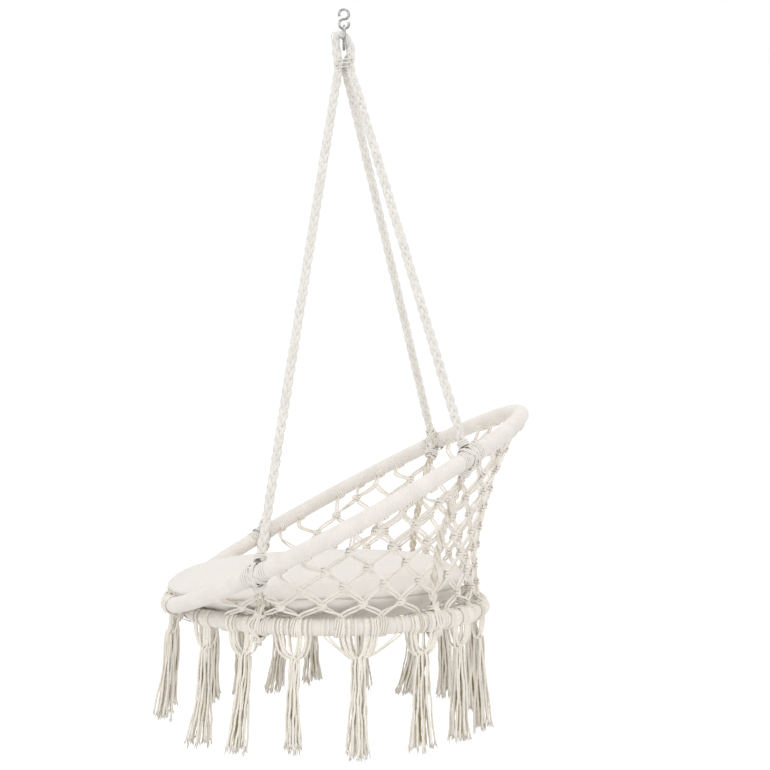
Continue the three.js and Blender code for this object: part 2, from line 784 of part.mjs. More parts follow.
// Height of the cushion's underside: fuller where it sinks into the net at the rear than where
// it lies on the hoops.
function undersideHeight(share, rearward) {
  const fullness = rearward > 0 ? 1.6 + 2.4 * rearward : 1.6 + 0.7 * rearward;
  const rise = 1 - Math.pow(1 - Math.pow(share, fullness), 0.8);
  const seam = CUSHION_SEAM + share * CUSHION_RADIUS * rearward * Math.tan(CUSHION_TILT * DEG);
  return CUSHION_BOTTOM + rise * (seam - CUSHION_BOTTOM);
}

function topHeight(share, rearward) {
  const rise = Math.pow(1 - Math.pow(share, 3.2), 0.52) * (CUSHION_TOP - CUSHION_SEAM);
  return CUSHION_SEAM + rise + share * CUSHION_RADIUS * rearward * Math.tan(CUSHION_TILT * DEG);
}

// A round cushion, its outline turned from the middle of the underside to the crown.
function cushion() {
  const under = [0, 0.35, 0.62, 0.8, 0.91, 0.97];
  const over = [1, 0.985, 0.94, 0.86, 0.72, 0.5, 0.26, 0];
  const shares = [...under, ...over];
  const outline = shares.map((share, i) => new THREE.Vector2(CUSHION_RADIUS * share, i));
  const geometry = new THREE.LatheGeometry(outline, CUSHION_FACETS).rotateX(Math.PI / 2);
  const places = geometry.getAttribute("position");
  for (let i = 0; i < places.count; i++) {
    const row = Math.round(places.getZ(i));
    const share = shares[row];
    const rearward = share > 0 ? places.getX(i) / (CUSHION_RADIUS * share) : 0;
    const height = row < under.length ? undersideHeight : topHeight;
    places.setZ(i, height(share, rearward));
  }
  return geometry.translate(CUSHION_X, 0, 0);
}

const hammockChair = new THREE.Group();
addMesh(hammockChair, "s_hook", hook(), STEEL);
const ring = new THREE.TorusGeometry(RING_BEND, RING_WIRE, 8, 24).rotateY(Math.PI / 2);
addMesh(hammockChair, "hanging_ring", ring, STEEL).position.z = RING_Z;
addMesh(hammockChair, "left_rope", rope(-1), COTTON);
addMesh(hammockChair, "right_rope", rope(1), COTTON);
addWinding(hammockChair, "rope_lashing", ropeLashing(), LASH_CORD);

const seat = new THREE.Group();
seat.position.set(SEAT_X, 0, SEAT_Z);
hammockChair.add(seat);
addHoop(seat, "seat", SEAT_RADIUS);
const back = new THREE.Group();
back.applyMatrix4(backPlace);
seat.add(back);
addHoop(back, "back", BACK_RADIUS);

for (const [corner, azimuth] of CORNERS) {
  addMesh(seat, `${corner}_rope_knot`, backKnot(azimuth), COTTON);
  const braid = sweep(braidRoute(azimuth), BRAID_RADIUS, 8);
  addMesh(seat, `${corner}_braid`, braid, NET_COTTON);
  addMesh(seat, `${corner}_seat_knot`, seatKnot(azimuth), NET_COTTON);
}

addMesh(seat, "net_rear", panel(-REAR_KNOT, REAR_KNOT), NET_COTTON);
addMesh(seat, "net_left", panel(-FRONT_KNOT, -REAR_KNOT), NET_COTTON);
addMesh(seat, "net_right", panel(REAR_KNOT, FRONT_KNOT), NET_COTTON);
addMesh(seat, "net_front_left", panel(-158, -FRONT_KNOT), NET_COTTON);
addMesh(seat, "net_front_right", panel(FRONT_KNOT, 158), NET_COTTON);
addMesh(seat, "net_seat", seatNet(), NET_COTTON);

BIND_AZIMUTHS.forEach((azimuth, i) => {
  addWinding(seat, `hoop_binding_${i + 1}`, hoopBinding(azimuth), BIND_CORD);
});

const knotCuts = CORNERS.map(([, azimuth]) =>
  solidOf(lump(seatPoint(azimuth), roundTangent(azimuth), SEAT_KNOT_HALF + 1, SEAT_KNOT_RADIUS + 1)),
);
LEFT_TASSELS.forEach((azimuth, i) => {
  addMesh(seat, `tassel_left_${i + 1}`, tassel(azimuth, knotCuts), NET_COTTON);
});
RIGHT_TASSELS.forEach((azimuth, i) => {
  addMesh(seat, `tassel_right_${i + 1}`, tassel(azimuth, knotCuts), NET_COTTON);
});
FRONT_TASSELS.forEach((azimuth, i) => {
  const mesh = tassel(azimuth, knotCuts, backPoint, BACK_RADIUS);
  addMesh(seat, `tassel_front_${i + 1}`, mesh, NET_COTTON);
});

addMesh(seat, "seat_cushion", cushion(), FABRIC);

export default hammockChair;
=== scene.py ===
"""Hammock chair: cotton cords, knots, tassels, cushion and hardware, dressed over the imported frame.

Metres, +Z up, in the frame's own axes. The sitter faces -X, with the left hand towards -Y.
"""

import math

import bpy
import numpy as np
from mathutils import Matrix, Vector


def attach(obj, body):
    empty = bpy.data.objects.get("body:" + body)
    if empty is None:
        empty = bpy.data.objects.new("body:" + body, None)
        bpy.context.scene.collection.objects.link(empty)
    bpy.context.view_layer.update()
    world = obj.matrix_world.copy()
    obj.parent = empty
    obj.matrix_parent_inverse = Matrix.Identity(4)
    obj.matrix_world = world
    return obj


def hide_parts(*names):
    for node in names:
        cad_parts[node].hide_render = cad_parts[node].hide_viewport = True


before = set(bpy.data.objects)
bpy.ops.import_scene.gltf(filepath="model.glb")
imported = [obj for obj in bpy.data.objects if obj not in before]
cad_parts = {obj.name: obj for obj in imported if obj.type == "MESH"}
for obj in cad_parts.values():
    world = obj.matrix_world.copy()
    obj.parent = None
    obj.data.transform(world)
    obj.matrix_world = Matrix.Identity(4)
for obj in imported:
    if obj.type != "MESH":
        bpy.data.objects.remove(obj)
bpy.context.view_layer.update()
SCENE = bpy.context.scene
MM = 0.001
TURN = 2 * math.pi
DOWN = np.array([0, 0, -1.0])

# The photograph's camera, fitted to both hoops, the ropes and the hook
CAMERA_PLACE = (-0.120, -2.936, -0.717)
CAMERA_YAW = 3.9  # degrees to the right of +Y
CAMERA_PITCH = -0.26
CAMERA_LENS = 70.3  # on a 36 mm sensor

# Hoops, as in the frame
SEAT_CENTRE = (-20 * MM, 0, -1157 * MM)
SEAT_RADIUS = 285 * MM
BACK_RADIUS = 385 * MM
BACK_TILT = 28.2  # degrees, rear up
FRONT_OUT = 31 * MM  # the back hoop's front, from the seat hoop's
FRONT_UP = 9 * MM
WRAP_RADIUS = 15.5 * MM
WRAP_TURN = 4.6 * MM
WRAP_CORD_DEPTH = 1.3 * MM
TURN_STEPS = 14  # stations in one turn of a coil
COIL_PITCH = 2.05  # from turn to turn of a coil, in radii of its cord
# Azimuths in degrees, from the rear towards the sitter's right
WRAP_ENDS = {"rear": (-50, 50), "right": (50, 120), "front": (120, 240), "left": (240, 310)}
REAR_KNOT = 52.5
FRONT_KNOT = 120

# Hardware
HOOK_WIRE = 2.5 * MM
HOOK_BEND = 9.5 * MM
RING_WIRE = 2.5 * MM
RING_BEND = 22.5 * MM
RING_Z = -52.65 * MM

# Ropes and braids: three strands of three cords
ROPE_SPREAD = 7.8 * MM
ROPE_HALF_WIDTH = 9.0 * MM
ROPE_CORD = 2.15 * MM
ROPE_PERIOD = 66 * MM
LASH_TOP_Z = -92.15 * MM
LASH_FOOT_Z = -114.15 * MM
LASH_CORD = 1.2 * MM
LASH_LOOPS = 3
# Lines in x and z, in millimetres: the rope's eye over the ring, and the lashing's loose loop
ROPE_EYE = ((-13, -92), (-15, -74), (-16, -58), (-12.5, -48), (-4, -47), (5, -55), (10.5, -67), (13, -80))
LASH_TAIL = ((-12, -58), (-17, -47), (-22, -45), (-25, -53), (-23, -66), (-17, -71), (-12, -64))
BRAID_HALF_WIDTH = 8.6 * MM
BRAID_PERIOD = 54 * MM
CORD = 2.15 * MM  # radius of the tassels' and knots' cord
NET_CORD = 2.35 * MM
BRAID_REACH = 38 * MM  # from a braid's head to the middle of the back hoop
SEAT_KNOT_REACH = 31 * MM  # and from its foot to the middle of the seat hoop

# Net
HALF_COLUMN = 180 / 24  # there are 24 columns all round
ROW_FOOT = 21 * MM
ROW_START = 8 * MM
ROW_HEIGHT = 38 * MM
WAIST = 33 * MM  # how far the net is drawn in at the rear
KNOT_ROOM = 8 * MM  # the least room round a knot
FOOT_KNOT_ROOM = 5 * MM
BACK_KNOT_ROOM = 15 * MM
HITCH_STEP = 7.5  # degrees
HITCH_TURNS = 3
LEG_GAP = 0.9 * MM  # between a leg's two cords, at its middle
LEG_SINK = 1.5 * MM  # how far a leg's end goes into what it ends at
POST_HEIGHT = 20 * MM  # of a leg's upright end under the back hoop
POST_ROOM = 42 * MM  # a post moves to the next column where it has more room than this
NET_KNOT_TURNS = ((-4.1 * MM, 0.3, 7.2), (0, 0.1, 8.4), (4.1 * MM, -0.3, 7.2))  # lift, lean, half width
SEAT_NET_PITCH = 74 * MM
SEAT_NET_SAG = 13 * MM
SEAT_NET_DROP = 7 * MM
SEAT_NET_ROOM = 14 * MM  # from its knots to the hoop's wrap
BIND_AZIMUTHS = (159, 178, 200)
BIND_CORD = 2.0 * MM
BIND_LOOPS = 4

# Tassels: azimuth from the rear in degrees; half width of the skirt, length under the hoop's middle and
# lean towards the rear in millimetres; all as the photograph shows them
TASSELS = {
    "left": (
        (-15, 16, 234, 5), (-38, 18, 231, 3), (-58, 22, 228, 0), (-83, 18, 232, -2),
        (-106, 13, 223, -3), (-126, 17, 232, -14), (-148, 20, 236, -8),
    ),
    "right": (
        (13, 15, 228, 4), (36, 16, 223, 4), (53, 16, 228, -8), (76, 16, 226, 0),
        (98, 17, 209, 2), (112.5, 17, 228, -6), (130, 14, 222, 1), (147, 13, 219, -2),
    ),
    "front": ((-174, 17, 219, -13), (171.5, 14, 217, -8)),
}
TASSEL_STRANDS = 18
TASSEL_THROAT = 55 * MM  # under the hoop's middle
SWAG_TASSEL = ("left", 3)
SWAG_REACH = (-62 * MM, -54 * MM, 66 * MM, 76 * MM)  # along the hoop from the tassel

# Cushion, over the middle of the seat hoop
CUSHION_X = -33.5 * MM
CUSHION_RADIUS = 284 * MM
CUSHION_TOP = 84.5 * MM
CUSHION_SEAM = 51 * MM
CUSHION_BOTTOM = -13 * MM
CUSHION_TILT = math.tan(math.radians(2.7))
CUSHION_SWELL = 9 * MM  # as far as the simulation may move a point
CUSHION_START = (0.985, 0.985, 0.95)  # the cover's size before it swells
CUSHION_SECTORS = 96
CUSHION_VOXEL = 5 * MM
CLOTH_FRAMES = 20
CUSHION_JOIN = math.radians(-108)  # where its side band is joined
CUSHION_CENTRE = np.array([SEAT_CENTRE[0] + CUSHION_X, 0, SEAT_CENTRE[2]])

FLOOR_Z = -1.62
FLOOR_SIZE = 30
FLOOR_GLOW = 0.32
# Name, place, size and power of each area light, and what they all aim at
LIGHTS = (
    ("key", (-1.6, -2.6, 0.9), 1.8, 15),
    ("fill", (2.4, -2.0, 0.2), 2.2, 6),
    ("top", (0.2, 0.4, 1.6), 2.0, 9),
)
LIGHT_AIM = (0, 0, -1.0)


def unit(v):
    return v / np.maximum(np.linalg.norm(v, axis=-1, keepdims=True), 1e-12)


def column(values):
    return np.asarray(values, float).reshape(-1, 1)


# Places on the hoops and the net


class Hoop:
    def __init__(self, centre, radius, tilt):
        t = math.radians(tilt)
        self.centre = np.array(centre, float)
        self.radius = radius
        self.rearward = np.array([math.cos(t), 0, math.sin(t)])
        self.rightward = np.array([0.0, 1.0, 0.0])
        self.up = np.array([-math.sin(t), 0, math.cos(t)])

    def radial(self, azimuth):
        a = np.radians(column(azimuth))
        return np.cos(a) * self.rearward + np.sin(a) * self.rightward

    def along(self, azimuth):
        a = np.radians(column(azimuth))
        return np.cos(a) * self.rightward - np.sin(a) * self.rearward

    def point(self, azimuth):
        return self.centre + self.radius * self.radial(azimuth)

    def around(self, azimuth, angle, reach):
        """A place round the tube: angle 0 is outward, a quarter turn is up."""
        way = np.cos(column(angle)) * self.radial(azimuth) + np.sin(column(angle)) * self.up
        return self.point(azimuth) + reach * way, way

    def degrees(self, length):
        return math.degrees(length / self.radius)


TILT = math.radians(BACK_TILT)
BACK_CENTRE = (
    SEAT_CENTRE[0] + BACK_RADIUS * math.cos(TILT) - SEAT_RADIUS - FRONT_OUT,
    0,
    SEAT_CENTRE[2] + BACK_RADIUS * math.sin(TILT) + FRONT_UP,
)
seat_hoop = Hoop(SEAT_CENTRE, SEAT_RADIUS, 0)
back_hoop = Hoop(BACK_CENTRE, BACK_RADIUS, BACK_TILT)
CORNERS = {
    "rear_left": -REAR_KNOT,
    "rear_right": REAR_KNOT,
    "front_left": -FRONT_KNOT,
    "front_right": FRONT_KNOT,
}


def span_at(azimuth):
    return np.linalg.norm(seat_hoop.point(azimuth) - back_hoop.point(azimuth), axis=1)


REAR_SPAN = span_at(0)[0]


def net_point(azimuth, height):
    """The net's surface: azimuth in degrees, height up from the middle of the seat hoop."""
    span = column(span_at(azimuth))
    t = column(height) / span
    inward = WAIST * span / REAR_SPAN * 4 * t * (1 - t) * (1.25 - 0.5 * t)
    low, high = seat_hoop.point(azimuth), back_hoop.point(azimuth)
    return low + (high - low) * t - seat_hoop.radial(azimuth) * inward


def net_out(azimuth, height):
    azimuth = np.asarray(azimuth, float).reshape(-1)
    height = np.asarray(height, float).reshape(-1)
    across = net_point(azimuth + 1, height) - net_point(azimuth - 1, height)
    rise = net_point(azimuth, height + 2 * MM) - net_point(azimuth, height - 2 * MM)
    return unit(np.cross(across, rise))


def braid_line(azimuth):
    heights = np.linspace(0, span_at(azimuth)[0], 60)
    line = net_point(np.full(60, azimuth), heights)
    low = np.linalg.norm(line - seat_hoop.point(azimuth), axis=1) > SEAT_KNOT_REACH
    high = np.linalg.norm(line - back_hoop.point(azimuth), axis=1) > BRAID_REACH
    return line[low & high]


# Curves


def resample(points, spacing):
    lengths = run_of(points)
    count = max(2, int(math.ceil(lengths[-1] / spacing)) + 1)
    wanted = np.linspace(0, lengths[-1], count)
    return np.stack([np.interp(wanted, lengths, points[:, k]) for k in range(3)], axis=1)


def curve(points, spacing=4 * MM):
    """A smooth line through the points, with stations at even spacing."""
    p = np.asarray(points, float)
    padded = np.vstack([2 * p[0] - p[1], p, 2 * p[-1] - p[-2]])
    t = np.linspace(0, 1, 12, endpoint=False).reshape(-1, 1)
    runs = []
    for a, b, c, d in zip(padded, padded[1:], padded[2:], padded[3:]):
        bend = 2 * a - 5 * b + 4 * c - d
        twist = 3 * b - a - 3 * c + d
        runs.append(b + 0.5 * ((c - a) * t + bend * t**2 + twist * t**3))
    return resample(np.vstack([*runs, p[-1:]]), spacing)


def frames(path, hint):
    """Unit vectors across a path at each station: one towards the hint, and one square to it."""
    tangent = unit(np.gradient(path, axis=0))
    hint = np.broadcast_to(np.asarray(hint, float), path.shape)
    normal = hint - np.sum(hint * tangent, axis=1, keepdims=True) * tangent
    spare = np.cross(tangent, [0.31, 0.52, 0.79])
    weak = np.linalg.norm(normal, axis=1, keepdims=True) < 0.05
    normal = unit(np.where(weak, spare, normal))
    return normal, np.cross(tangent, normal)


def run_of(path):
    """The length along a path up to each station."""
    return np.concatenate([[0], np.cumsum(np.linalg.norm(np.diff(path, axis=0), axis=1))])


def per_station(value, path):
    return np.broadcast_to(np.asarray(value, float).reshape(-1, 1, 1), (len(path), 1, 1))


class Cords:
    """Collects cords as closed tubes, and makes one mesh of them."""

    def __init__(self):
        self.tubes = []
        self.count = 0

    def add(self, path, width, depth=None, hint=(0, 0, 1), sides=6, tone=None):
        """A tube along the path; width and depth are radii, the depth towards the hint."""
        path = np.asarray(path, float)
        normal, side = frames(path, hint)
        width = per_station(width, path)
        depth = width if depth is None else per_station(depth, path)
        turn = np.linspace(0, TURN, sides, endpoint=False).reshape(1, -1, 1)
        ring = width * np.cos(turn) * side[:, None, :] + depth * np.sin(turn) * normal[:, None, :]
        points = (path[:, None, :] + ring).reshape(-1, 3)
        tone = rng.random() if tone is None else tone
        tones = np.repeat(np.broadcast_to(tone, len(path)), sides)
        i, j = np.meshgrid(np.arange(len(path) - 1), np.arange(sides), indexing="ij")
        k = (j + 1) % sides
        quads = np.stack([i * sides + j, i * sides + k, (i + 1) * sides + k, (i + 1) * sides + j], axis=-1)
        first = np.arange(sides)[::-1]
        last = (len(path) - 1) * sides + np.arange(sides)
        loops = np.concatenate([quads.reshape(-1), first, last]) + self.count
        sizes = np.concatenate([np.full(quads.size // 4, 4), [sides, sides]])
        run = run_of(path)
        around = np.stack([j, j + 1, j + 1, j], axis=-1) / sides
        length = np.stack([run[i], run[i], run[i + 1], run[i + 1]], axis=-1)
        lay = np.stack([length.reshape(-1), around.reshape(-1)], axis=1)
        self.tubes.append((points, tones, loops, sizes, np.vstack([lay, np.zeros((2 * sides, 2))])))
        self.count += len(points)

    def make(self, name, material, body):
        points, tones, loops, sizes, lays = (np.concatenate(part) for part in zip(*self.tubes))
        mesh = bpy.data.meshes.new(name)
        mesh.vertices.add(self.count)
        mesh.vertices.foreach_set("co", points.astype(np.float32).ravel())
        mesh.loops.add(len(loops))
        mesh.loops.foreach_set("vertex_index", loops.astype(np.int32))
        mesh.polygons.add(len(sizes))
        starts = np.concatenate([[0], np.cumsum(sizes)[:-1]])
        mesh.polygons.foreach_set("loop_start", starts.astype(np.int32))
        mesh.polygons.foreach_set("use_smooth", np.ones(len(sizes), bool))
        lay = mesh.uv_layers.new(name="lay")
        lay.data.foreach_set("uv", lays.astype(np.float32).ravel())
        tone = mesh.attributes.new("tone", "FLOAT", "POINT")
        tone.data.foreach_set("value", tones.astype(np.float32))
        mesh.update(calc_edges=True)
        return place_piece(name, mesh, material, body)


def new_object(name, data):
    made = bpy.data.objects.new(name, data)
    SCENE.collection.objects.link(made)
    return made


def place_piece(name, mesh, material, body):
    piece = new_object(name, mesh)
    mesh.materials.append(material)
    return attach(piece, body)


def dress(cords, node, kind, material, body="chair"):
    """Makes the piece that stands for one of the frame's nodes."""
    piece = cords.make(f"{node}_{kind}", material, body)
    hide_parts(node)


rng = np.random.default_rng(11)  # for every cord but the tassels', which have one each


# Materials


class Shader:
    """The node tree of a material or a world, and the shader node that it feeds."""

    def __init__(self, owner, surface="Principled BSDF"):
        owner.use_nodes = True
        self.owner = owner
        self.tree = owner.node_tree
        self.surface = self.tree.nodes[surface]

    def node(self, kind, **settings):
        made = self.tree.nodes.new("ShaderNode" + kind)
        for key, value in settings.items():
            setattr(made, key, value)
        return made

    def feed(self, socket, value):
        if isinstance(value, bpy.types.NodeSocket):
            self.tree.links.new(value, socket)
        else:
            socket.default_value = value

    def fill(self, node, **values):
        """Feeds inputs by name, where an underscore stands for a space, and gives the first output."""
        for key, value in values.items():
            self.feed(node.inputs[key.replace("_", " ")], value)
        return node.outputs[0]

    def math(self, operation, *values):
        made = self.node("Math", operation=operation)
        for socket, value in zip(made.inputs, values):
            self.feed(socket, value)
        return made.outputs[0]

    def mix(self, share, low, high, blend="MIX"):
        made = self.node("Mix", data_type="RGBA", blend_type=blend)
        for k, value in ((0, share), (6, low), (7, high)):
            self.feed(made.inputs[k], value)
        return made.outputs[2]

    def noise(self, scale, detail=3.0, stretch=None):
        place = self.node("TexCoord").outputs["Object"]
        if stretch:
            place = self.fill(self.node("Mapping"), Vector=place, Scale=stretch)
        return self.fill(self.node("TexNoise"), Vector=place, Scale=scale, Detail=detail)

    def bump(self, height, distance):
        return self.fill(self.node("Bump"), Height=height, Distance=distance, Strength=1.0)

    def ramp(self, value, low=0.0, high=1.0, to_low=0.0, to_high=1.0):
        made = self.node("MapRange")
        return self.fill(made, Value=value, From_Min=low, From_Max=high, To_Min=to_low, To_Max=to_high)


def new_shader(name):
    return Shader(bpy.data.materials.new(name))


def colour(red, green, blue):
    """A colour given as it looks on the screen, 0 to 255."""
    return tuple(((c / 255 + 0.055) / 1.055) ** 2.4 for c in (red, green, blue)) + (1.0,)


def cotton(name, light, shade, groove=0.84, plies=3, pitch=9 * MM, relief=0.16 * MM):
    """Twisted cotton cord: plies that run round it, loose fibres, painted shade in the troughs between plies,
    and painted shade on cords with a low tone, such as inner cords.
    """
    s = new_shader(name)
    lay = s.node("SeparateXYZ")
    s.fill(lay, Vector=s.node("UVMap", uv_map="lay").outputs[0])
    along = s.math("MULTIPLY", lay.outputs[0], 1 / pitch)
    around = s.math("MULTIPLY", lay.outputs[1], float(plies))
    phase = s.math("MULTIPLY", s.math("ADD", along, around), math.pi)
    crest = s.math("POWER", s.math("ABSOLUTE", s.math("SINE", phase)), 0.6)
    fibre = s.math("MULTIPLY", s.noise(300.0, 2.0), 0.2)
    tone = s.node("Attribute", attribute_name="tone").outputs["Fac"]
    faded = tuple(c * 0.92 for c in light[:3]) + (1.0,)
    pale = s.mix(s.ramp(s.noise(34.0), 0.3, 0.7), faded, light)
    # Painted shade: a cord with a low tone takes on the shade colour, for the olive shade between cords;
    # tones also differ at random from cord to cord.
    body = s.mix(s.ramp(tone, 0.0, 0.6), shade, pale)
    # Painted shade: the troughs between plies take the body colour darkened and warmed by the groove factor.
    deep = s.mix(1.0, body, (groove, groove * 0.985, groove * 0.955, 1.0), blend="MULTIPLY")
    s.fill(
        s.surface,
        Base_Color=s.mix(s.ramp(crest, 0.0, 0.7), deep, body),
        Normal=s.bump(s.math("ADD", crest, fibre), relief),
        Roughness=0.92,
        Specular_IOR_Level=0.2,
        Sheen_Weight=0.12,
        Sheen_Roughness=0.6,
    )
    return s.owner


def woven(name, light, shade):
    """Plain-woven cotton cloth: threads that cross a millimetre apart."""
    s = new_shader(name)
    place = s.node("SeparateXYZ")
    s.fill(place, Vector=s.node("TexCoord").outputs["Object"])
    thread = math.pi / (1.1 * MM)
    waves = [s.math("ABSOLUTE", s.math("SINE", s.math("MULTIPLY", way, thread))) for way in place.outputs]
    weave = s.math("ADD", s.math("MULTIPLY", waves[0], waves[1]), waves[2])
    slub = s.noise(260.0, 2.0, stretch=(1, 0.12, 1))
    height = s.math("ADD", s.math("MULTIPLY", weave, 0.5), slub)
    share = s.math("ADD", s.math("MULTIPLY", s.noise(9.0), 0.6), s.math("MULTIPLY", slub, 0.4))
    s.fill(
        s.surface,
        Base_Color=s.mix(share, shade, light),
        Normal=s.bump(height, 0.16 * MM),
        Roughness=0.9,
        Specular_IOR_Level=0.2,
        Sheen_Weight=0.15,
    )
    return s.owner


def plated(name, light, dark):
    """Zinc-plated steel wire with clouds of dull zinc and fine drawing marks."""
    s = new_shader(name)
    s.fill(
        s.surface,
        Base_Color=s.mix(s.ramp(s.noise(120.0, 4.0), 0.3, 0.7), dark, light),
        Normal=s.bump(s.noise(1500.0, 2.0), 0.03 * MM),
        Roughness=s.ramp(s.noise(700.0, 2.0), to_low=0.22, to_high=0.42),
        Metallic=1.0,
    )
    return s.owner


# The second colour of each of these cottons is a painted shade colour, mixed in where a cord's tone is low;
# groove darkens the troughs between plies with painted shade.
ROPE_COTTON = cotton(
    "rope_cotton", colour(240, 237, 231), colour(208, 197, 174), groove=0.91, relief=0.1 * MM
)
WRAP_COTTON = cotton(
    "wrap_cotton", colour(240, 235, 229), colour(224, 215, 202), groove=0.965, pitch=14 * MM, relief=0.05 * MM
)
NET_COTTON = cotton("net_cotton", colour(247, 241, 233), colour(196, 183, 152), groove=0.87, relief=0.12 * MM)
TASSEL_COTTON = cotton(
    "tassel_cotton", colour(252, 246, 236), colour(172, 156, 112), groove=0.8, pitch=7 * MM, relief=0.22 * MM
)
CUSHION_CLOTH = woven("cushion_cloth", colour(239, 235, 230), colour(229, 224, 217))
SEAM_THREAD = cotton("seam_thread", colour(214, 206, 196), colour(160, 148, 130))
WIRE_STEEL = plated("wire_steel", (0.68, 0.675, 0.665, 1), (0.2, 0.198, 0.194, 1))
TUBE_COATING = plated("tube_coating", (0.75, 0.74, 0.72, 1), (0.62, 0.61, 0.59, 1))


# Hoop wraps


def wrap(hoop, first, last):
    """One helix of cord, pressed flat and laid turn to turn."""
    cords = Cords()
    turns = math.radians(last - first) * hoop.radius / WRAP_TURN
    steps = int(turns * TURN_STEPS)
    azimuth = np.linspace(first, last, steps)
    angle = np.linspace(0, turns * TURN, steps)
    path, way = hoop.around(azimuth, angle, WRAP_RADIUS - WRAP_CORD_DEPTH)
    cords.add(path, WRAP_TURN * 0.72, WRAP_CORD_DEPTH, way, tone=0.9)
    return cords


def make_wraps():
    for name, hoop in (("seat", seat_hoop), ("back", back_hoop)):
        for side, (first, last) in WRAP_ENDS.items():
            dress(wrap(hoop, first, last), f"{name}_wrap_{side}", "cord", WRAP_COTTON)
        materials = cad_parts[f"{name}_hoop"].data.materials
        materials.clear()
        materials.append(TUBE_COATING)


def turns_round(cords, hoop, azimuth, turns, lean=0.0, start=0.0, bulk=0.0, flat=0.85, dim=0.5):
    """Turns of cord round a hoop, side by side, standing out most on the hoop's inner side."""
    steps = int(turns * TURN_STEPS) + 1
    share = np.linspace(-0.5, 0.5, steps)
    width = turns * CORD * COIL_PITCH
    angle = start + share * turns * TURN
    slant = lean * np.sin(angle)
    places = azimuth + hoop.degrees(1) * (share * width + slant)
    lift = bulk * (0.5 - 0.5 * np.cos(angle))
    path, way = hoop.around(places, angle, column(WRAP_RADIUS + CORD * flat * 0.7 + lift))
    # Tones differ at random down to dim, which mixes in painted shade among the turns.
    cords.add(path, CORD, CORD * flat, way, tone=rng.uniform(dim, 1))


def hitch(cords, hoop, azimuth):
    """Short turns under a hoop's inner side, their ends sunk into its wrap."""
    share = np.linspace(0, 1, 13)
    angle = np.radians(-176 + 124 * share)
    sink = 3.2 * MM * np.abs(2 * share - 1) ** 3
    lean = rng.uniform(-2, 2) * MM
    for k in range(HITCH_TURNS):
        shift = (k - (HITCH_TURNS - 1) / 2) * NET_CORD * COIL_PITCH + lean * np.cos(angle)
        reach = column(WRAP_RADIUS + NET_CORD * 0.6 - sink)
        path, way = hoop.around(azimuth + hoop.degrees(1) * shift, angle, reach)
        cords.add(path, NET_CORD, NET_CORD * 0.85, way, tone=rng.uniform(0.5, 1))


# Ropes and braids


def plait(cords, path, hint, half_width, period, cord, dim=0.6, core=1.8):
    """Three strands, each of three cords round a soft core, plaited flat along a path."""
    normal, side = frames(path, hint)
    run = run_of(path)
    sway = half_width - cord * 2.1
    for k in range(3):
        phase = TURN * (run / period + k / 3)
        aside, out = sway * np.sin(phase), sway * 0.62 * np.sin(2 * phase)
        centre = path + side * column(aside) + normal * column(out)
        # Painted shade: a lower dim gives the core, which is seen in the gaps between strands, and the cords
        # more of the cotton's shade colour; the cords' tones also differ at random.
        cords.add(centre, cord * core, hint=normal, sides=8, tone=0.5 + 0.5 * dim)
        for j in range(3):
            angle = TURN * (run / (period * 1.15) + j / 3 + 0.21 * k)
            ring = side * column(np.cos(angle)) + normal * column(np.sin(angle))
            line = centre + ring * cord * 1.1
            cords.add(line, cord, hint=ring, tone=rng.uniform(dim, 1))


def rope_points(side):
    """One rope's line: front knot, over the ring's lower wire in a loose eye, rear knot."""
    y = ROPE_SPREAD * side
    rear = 12 * MM if side < 0 else 3.5 * MM

    def tail(azimuth, x):
        foot = np.array([x, y, LASH_FOOT_Z])
        centre = back_hoop.point(azimuth * side)[0]
        inner = centre - back_hoop.radial(azimuth * side)[0] * 9 * MM
        start = inner + unit(foot - inner) * 30 * MM
        return [start + (foot - start) * t for t in (0, 0.2, 0.4, 0.6, 0.8, 0.95)] + [foot]

    over = [np.array([x * MM, y * (0.94 if z > -70 else 1), z * MM]) for x, z in ROPE_EYE]
    return [*tail(FRONT_KNOT, -11 * MM), *over, *tail(REAR_KNOT, rear)[::-1]]


def make_ropes():
    for name, side in (("left", -1), ("right", 1)):
        cords = Cords()
        path = curve(rope_points(side), 4 * MM)
        eye = np.exp(-(((path[:, 2] - RING_Z) / (20 * MM)) ** 2))
        plait(cords, path, (0, side, 0.15), ROPE_HALF_WIDTH - 1.6 * MM * eye, ROPE_PERIOD, ROPE_CORD)
        dress(cords, f"{name}_rope", "plait", ROPE_COTTON)


def make_lashing():
    """Thin cord drawn round and between the rope legs, with a loose loop of it at the front."""
    cords = Cords()
    angle = np.linspace(0, LASH_LOOPS * TURN, LASH_LOOPS * 28)
    reach = 8.2 * MM + LASH_CORD
    x = np.clip(3 * np.cos(angle), -1, 1) * ROPE_SPREAD + reach * np.cos(angle)
    y = np.clip(3 * np.sin(angle), -1, 1) * ROPE_SPREAD + reach * np.sin(angle)
    z = np.linspace(LASH_TOP_Z, LASH_FOOT_Z, len(angle)) + 5 * MM * np.cos(angle)
    cords.add(np.stack([x, y, z], axis=1), LASH_CORD, tone=0.9)
    points = np.array([(x, -12, z) for x, z in LASH_TAIL]) * MM
    cords.add(curve(points, 2 * MM), 1.0 * MM, tone=0.9)
    dress(cords, "rope_lashing", "cord", ROPE_COTTON)


# Knots: a plait's cords part over a hoop, are bound there, and gather again below it.


